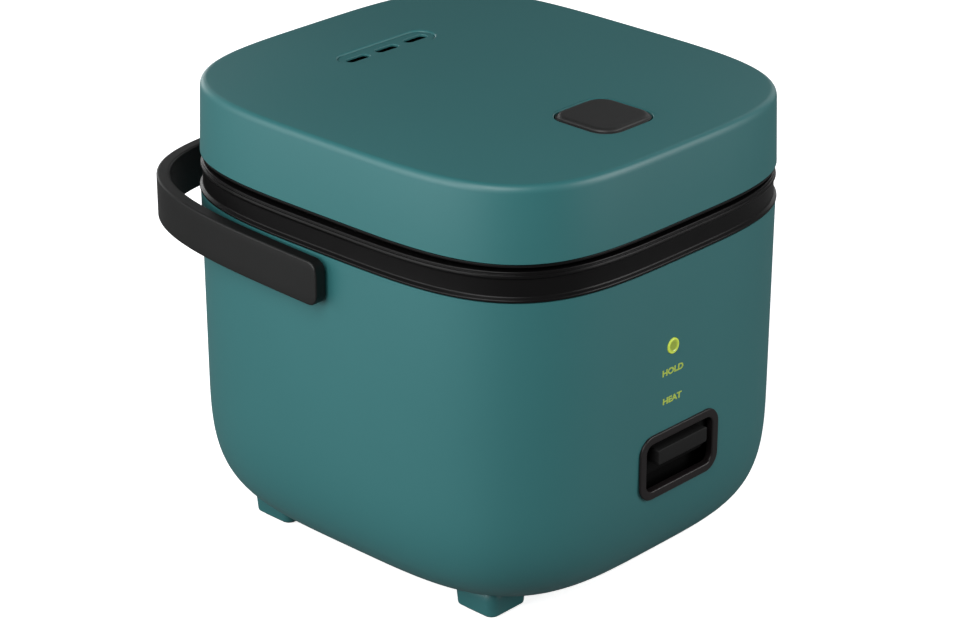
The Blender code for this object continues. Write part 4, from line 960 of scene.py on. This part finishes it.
def cook_lever():
    """Paddle plate with a raised pad, on a short arm down to the beam."""
    paddle = slab((-22, -92.3, 46), (22, -90.5, 77.5), 0.5 * MM)
    low, high = LEVER_Z - 4.0 * MM, LEVER_Z + 9.45 * MM
    pad = soften([(0.0, 91.4 * MM), (0.0, 96.8 * MM), (4 * MM, 96.8 * MM)], 0.5 * MM, 5)
    pad_rings = eased(BEZEL_WIDTH - 2 * BEZEL_BORDER - 0.8 * MM, high - low, 3.6 * MM, pad)
    arm = [slab((-5, -91.9, 36), (5, -86.5, 47)), slab((-5, -90.5, 33), (5, -78, 37.5)),
           slab((-5, -83.5, 26.8), (5, -77, 34))]
    return carve(paddle, skin("pad", front(pad_rings, centre_z=(low + high) / 2)), *arm, operation="UNION")


def finger_tab():
    """Flat bar that stands out of the pad for the finger."""
    profile = soften([(0.0, 96.5 * MM), (0.0, TAB_FRONT), (2.5 * MM, TAB_FRONT)], 0.35 * MM, 5)
    return skin("finger_bar", front(eased(TAB_WIDTH, TAB_HEIGHT, 0.9 * MM, profile), centre_z=TAB_Z))


bezel_plastic = made_of("bezel_plastic", (0.0105, 0.0085, 0.0088), 0.34, tone=0.15, spread=0.06, broad=80.0,
                        fine=1800.0, bump=0.06, specular=0.3)
# Paddle and finger bar are one black plastic: the paddle's colour is painted near black as painted shade, and
# the bar's is a lighter copy as a painted lit face.
painted_shade_lever_plastic = made_of("painted_shade_lever_plastic", (0.0015, 0.0015, 0.0015), 0.6, tone=0.15, broad=80.0, fine=1800.0,
                        bump=0.1, specular=0.08)
painted_lit_tab_plastic = made_of("painted_lit_tab_plastic", (0.0060, 0.0060, 0.0060), 0.6, tone=0.15, broad=80.0, fine=1800.0,
                      bump=0.1, specular=0.2)
place(bezel(), "base_body", "black_plastic", bezel_plastic, "lever_bezel")
lever = cook_lever()
lever.name = "lever_paddle"
place(lever, "lever_body", "black_plastic", painted_shade_lever_plastic, "cook_lever")
place(finger_tab(), "lever_body", "black_plastic", painted_lit_tab_plastic)


# ============================================================================= indicator
# A small yellow-green lens shows the lamp, with plain words for the two stages, keeping
# warm and heating, printed under it in the same colour.

WORD_RISE = 0.05 * MM
WORDS = (("HOLD", 12.0 * MM, 2.7 * MM, -4.8 * MM, 98.3 * MM),
         ("HEAT", 10.8 * MM, 2.6 * MM, -4.7 * MM, 86.5 * MM))


def lens():
    """Disc with a rounded rim and a slightly dished middle."""
    reach = LENS_RADIUS / MM
    profile = drawn([(reach, 96.8), (reach, 100.0), (reach - 0.8, 100.0), (reach - 1.1, 99.75), (0.2, 99.65)],
                    (0, 0.35, 0.3, 0.3, 0))
    return skin("lamp_window", front(turned(profile, 96), LENS_X, LENS_Z))


def lens_finish():
    """Translucent yellow-green, lighter round the rim than in the middle, glowing faintly."""
    material = made_of("lens_glow", (0.42, 0.55, 0.06), 0.25, tone=0.1, broad=300.0)
    nodes, links = material.node_tree.nodes, material.node_tree.links
    shader = nodes["Principled BSDF"]
    where = nodes.new("ShaderNodeTexCoord")
    from_axis = nodes.new("ShaderNodeVectorMath")
    from_axis.operation = "SUBTRACT"
    from_axis.inputs[1].default_value = (LENS_X, 0.0, LENS_Z)
    links.new(where.outputs["Object"], from_axis.inputs[0])
    flat = nodes.new("ShaderNodeVectorMath")
    flat.operation = "MULTIPLY"
    flat.inputs[1].default_value = (1.0, 0.0, 1.0)
    links.new(from_axis.outputs["Vector"], flat.inputs[0])
    reach = nodes.new("ShaderNodeVectorMath")
    reach.operation = "LENGTH"
    links.new(flat.outputs["Vector"], reach.inputs[0])
    band = nodes.new("ShaderNodeMapRange")
    band.inputs["From Min"].default_value = 1.6 * MM
    band.inputs["From Max"].default_value = 2.7 * MM
    links.new(reach.outputs["Value"], band.inputs["Value"])
    blend = nodes.new("ShaderNodeMix")
    blend.data_type = "RGBA"
    blend.inputs["A"].default_value = (0.20, 0.26, 0.035, 1.0)
    blend.inputs["B"].default_value = (0.42, 0.52, 0.06, 1.0)
    links.new(band.outputs["Result"], blend.inputs["Factor"])
    links.new(blend.outputs["Result"], shader.inputs["Base Color"])
    links.new(blend.outputs["Result"], shader.inputs["Emission Color"])
    shader.inputs["Emission Strength"].default_value = 0.42
    return material


def front_wall(x, z):
    """Distance of the shell's front face from the body's middle at a place on it."""
    share = body_scale(z)
    across = np.abs(x / (BODY_HALF_X * share)) ** BODY_EXPONENT
    return BODY_HALF_Y * share * (1 - across) ** (1 / BODY_EXPONENT)


def word(text, width, height, centre_x, centre_z):
    """Printed lettering as a thin raised skin that follows the front wall."""
    letters = bpy.data.curves.new("letters", "FONT")
    letters.body = text
    letters.offset = 0.04
    letters.extrude = 0.01
    letters.resolution_u = 6
    holder = bpy.data.objects.new("letters", letters)
    bpy.context.scene.collection.objects.link(holder)
    bpy.context.view_layer.update()
    mesh = bpy.data.meshes.new_from_object(holder.evaluated_get(bpy.context.evaluated_depsgraph_get()))
    bpy.data.objects.remove(holder)
    spots = np.zeros(len(mesh.vertices) * 3)
    mesh.vertices.foreach_get("co", spots)
    spots = spots.reshape(-1, 3)
    low, high = spots.min(axis=0), spots.max(axis=0)
    share = (spots - (low + high) / 2) / (high - low)
    x, z = centre_x + share[:, 0] * width, centre_z + share[:, 1] * height
    y = BODY_Y - front_wall(x, z) - WORD_RISE * (share[:, 2] + 0.3)
    mesh.vertices.foreach_set("co", np.stack([x, y, z], axis=1).ravel())
    mesh.update()
    return tidy_mesh(text.lower() + "_word", mesh)


place(lens(), "base_body", "lens_yellow_green", lens_finish(), "indicator_lens")
word_ink = made_of("word_ink", (0.40, 0.52, 0.07), 0.5, tone=0.08, broad=200.0)
for text, width, height, x, z in WORDS:
    place(word(text, width, height, x, z), "base_body", "lens_yellow_green", word_ink)


# ============================================================================ power inlet
# The mains lead plugs into a black socket low on the back: a flanged box with three
# flat blades standing in it.

BLADES = {"live": (6.5, 60.2), "neutral": (-6.5, 60.2), "earth": (0.0, 64.2)}


def inlet():
    """Socket from the closed back of its box, round the flange and into the cavity."""
    profile = drawn([
        (6.0, 80.5), (2.5, 80.5), (2.5, 99.4), (0.0, 99.4), (0.0, 101.4), (4.5, 101.4), (4.5, 82.5),
        (6.0, 82.5)], (0, 0.4, 0.2, 0.2, 0.7, 0.6, 0.4, 0), 5)
    rings = eased(INLET_WIDTH + 5 * MM, INLET_HEIGHT + 5 * MM, 4 * MM, profile, 1.5 * MM)
    return skin("mains_socket", rear(rings, centre_z=INLET_Z))


def blade(x, z):
    """A flat contact with an eased tip."""
    profile = drawn([(0.0, 82.3), (0.0, 95.5), (0.8, 95.5)], 0.5, 4)
    return skin("blade", rear(eased(2 * MM, 4 * MM, 0.2 * MM, profile), centre_x=x * MM, centre_z=z * MM))


place(inlet(), "base_body", "black_plastic", black_plastic, "power_inlet")
for name, (x, z) in BLADES.items():
    contact = blade(x, z)
    contact.name = name + "_blade"
    place(contact, "base_body", "plated_steel", steel, "inlet_pin_" + name)


# ========================================================================= carrying handle
# A flat black band bends round the back in one arch and turns on a pin in each side
# wall. Its faces are plain, its edges eased, and its front ends have round corners.

HANDLE_HALF_X = 96.5 * MM
HANDLE_REAR_Y = 119.0 * MM
HANDLE_CENTRE_Y = -20.0 * MM
HANDLE_EXPONENT = 4.44
HANDLE_THICK = 5.2 * MM
HANDLE_HEIGHT = 17.9 * MM
HANDLE_FRONT_Y = -4.1 * MM
HANDLE_TILT = 0.024
HANDLE_CORNER = 4.6 * MM
HANDLE_EASE = 0.8 * MM


def handle_arch():
    """Half of the band's outer line in plan, from its front end to the rear middle, with normals."""
    power = 2 / HANDLE_EXPONENT
    deep = HANDLE_REAR_Y - HANDLE_CENTRE_Y
    last = math.acos(((HANDLE_FRONT_Y - HANDLE_CENTRE_Y) / deep) ** (HANDLE_EXPONENT / 2))
    turn = np.linspace(last, 0, 6001)
    line = np.stack([HANDLE_HALF_X * np.sin(turn) ** power,
                     HANDLE_CENTRE_Y + deep * np.cos(turn) ** power], axis=1)
    run = np.concatenate(([0], np.cumsum(np.hypot(*np.diff(line, axis=0).T))))
    near = np.array((0, 0.03, 0.1, 0.22, 0.4, 0.6, 0.8, 1.1, 1.5, 2.0, 2.6, 3.3, 4.0)) * MM
    stops = np.concatenate([near, np.linspace(4.8 * MM, run[-1], 110)])
    spots = np.stack([np.interp(stops, run, line[:, 0]), np.interp(stops, run, line[:, 1])], axis=1)
    steep = np.stack([(spots[:, 0] / HANDLE_HALF_X) ** (HANDLE_EXPONENT - 1) / HANDLE_HALF_X,
                      ((spots[:, 1] - HANDLE_CENTRE_Y) / deep) ** (HANDLE_EXPONENT - 1) / deep], axis=1)
    return spots, steep / np.linalg.norm(steep, axis=1)[:, None]


def quarter_drop(radius, from_end):
    """How far a quarter round of a radius has fallen at a distance from the end of the band."""
    short = np.maximum(radius - from_end, 0.0)
    return radius - np.sqrt(radius ** 2 - short ** 2)


def handle():
    """The band's rounded section carried along the arch, narrower towards both rounded ends."""
    spots, normals = handle_arch()
    spots = np.concatenate([spots, (spots * [-1, 1])[-2::-1]])
    normals = np.concatenate([normals, (normals * [-1, 1])[-2::-1]])
    rings = []
    for (x, y), normal in zip(spots, normals):
        from_end = max(y - HANDLE_FRONT_Y, 0.0)
        inset = quarter_drop(HANDLE_EASE, from_end)
        half = HANDLE_HEIGHT / 2 - quarter_drop(HANDLE_CORNER, from_end)
        corner = max(HANDLE_EASE - inset, 0.05 * MM)
        flat = rounded_rectangle(HANDLE_THICK - 2 * inset, 2 * half - 2 * inset, corner, 6)
        depth = flat[:, 0] - HANDLE_THICK / 2
        middle = PIVOT_Z + 0.25 * MM + HANDLE_TILT * (y - PIVOT_Y)
        rings.append(np.stack([x + normal[0] * depth, y + normal[1] * depth, middle + flat[:, 1]], axis=1))
    return skin("carrying_band", at(np.array(rings)))


handle_plastic = made_of("handle_plastic", (0.0034, 0.0036, 0.0035), 0.5, tone=0.15, spread=0.08, broad=50.0,
                         fine=2000.0, bump=0.12, specular=0.35)
place(handle(), "handle_body", "black_plastic", handle_plastic, "carry_handle")


# =========================================================================== inner workings
# Everything else is shut inside the shell or the lid: liner, heating plate, thermostat,
# switch gear, wires, springs and screws. These keep the frame's own shapes.

finishes = {
    "teal_coat": teal_paint,
    "black_plastic": black_plastic,
    "pad_rubber": pad_rubber,
    "plated_steel": steel,
    "spring_steel": spring_wire,
    "liner_sheet": bare_sheet,
    "cast_aluminium": made_of("cast_aluminium", (0.50, 0.50, 0.51), 0.5, metallic=1.0, tone=0.15, broad=150.0,
                              fine=500.0, bump=0.3),
    "pot_coating": pot_coating,
    "board_green": made_of("board_green", (0.015, 0.14, 0.05), 0.4, tone=0.2, broad=300.0, coat=0.3),
    "lens_yellow_green": made_of("lamp_body", (0.45, 0.55, 0.12), 0.2, tone=0.1),
    "wire_insulation": made_of("wire_insulation", (0.50, 0.03, 0.03), 0.45, tone=0.1, broad=100.0),
    "silicone": silicone,
}
for node in frame["nodes"].values():
    for number, kept in enumerate(node.data.materials):
        node.data.materials[number] = finishes[kept.name.split(".")[0]]


# ============================================================================ overall size
# The finished object's corners, beside the corners of the frame's own model.

boxes = {"cad": cad_box, "visual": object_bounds()}
{name: [list(corner) for corner in box] for name, box in boxes.items()}
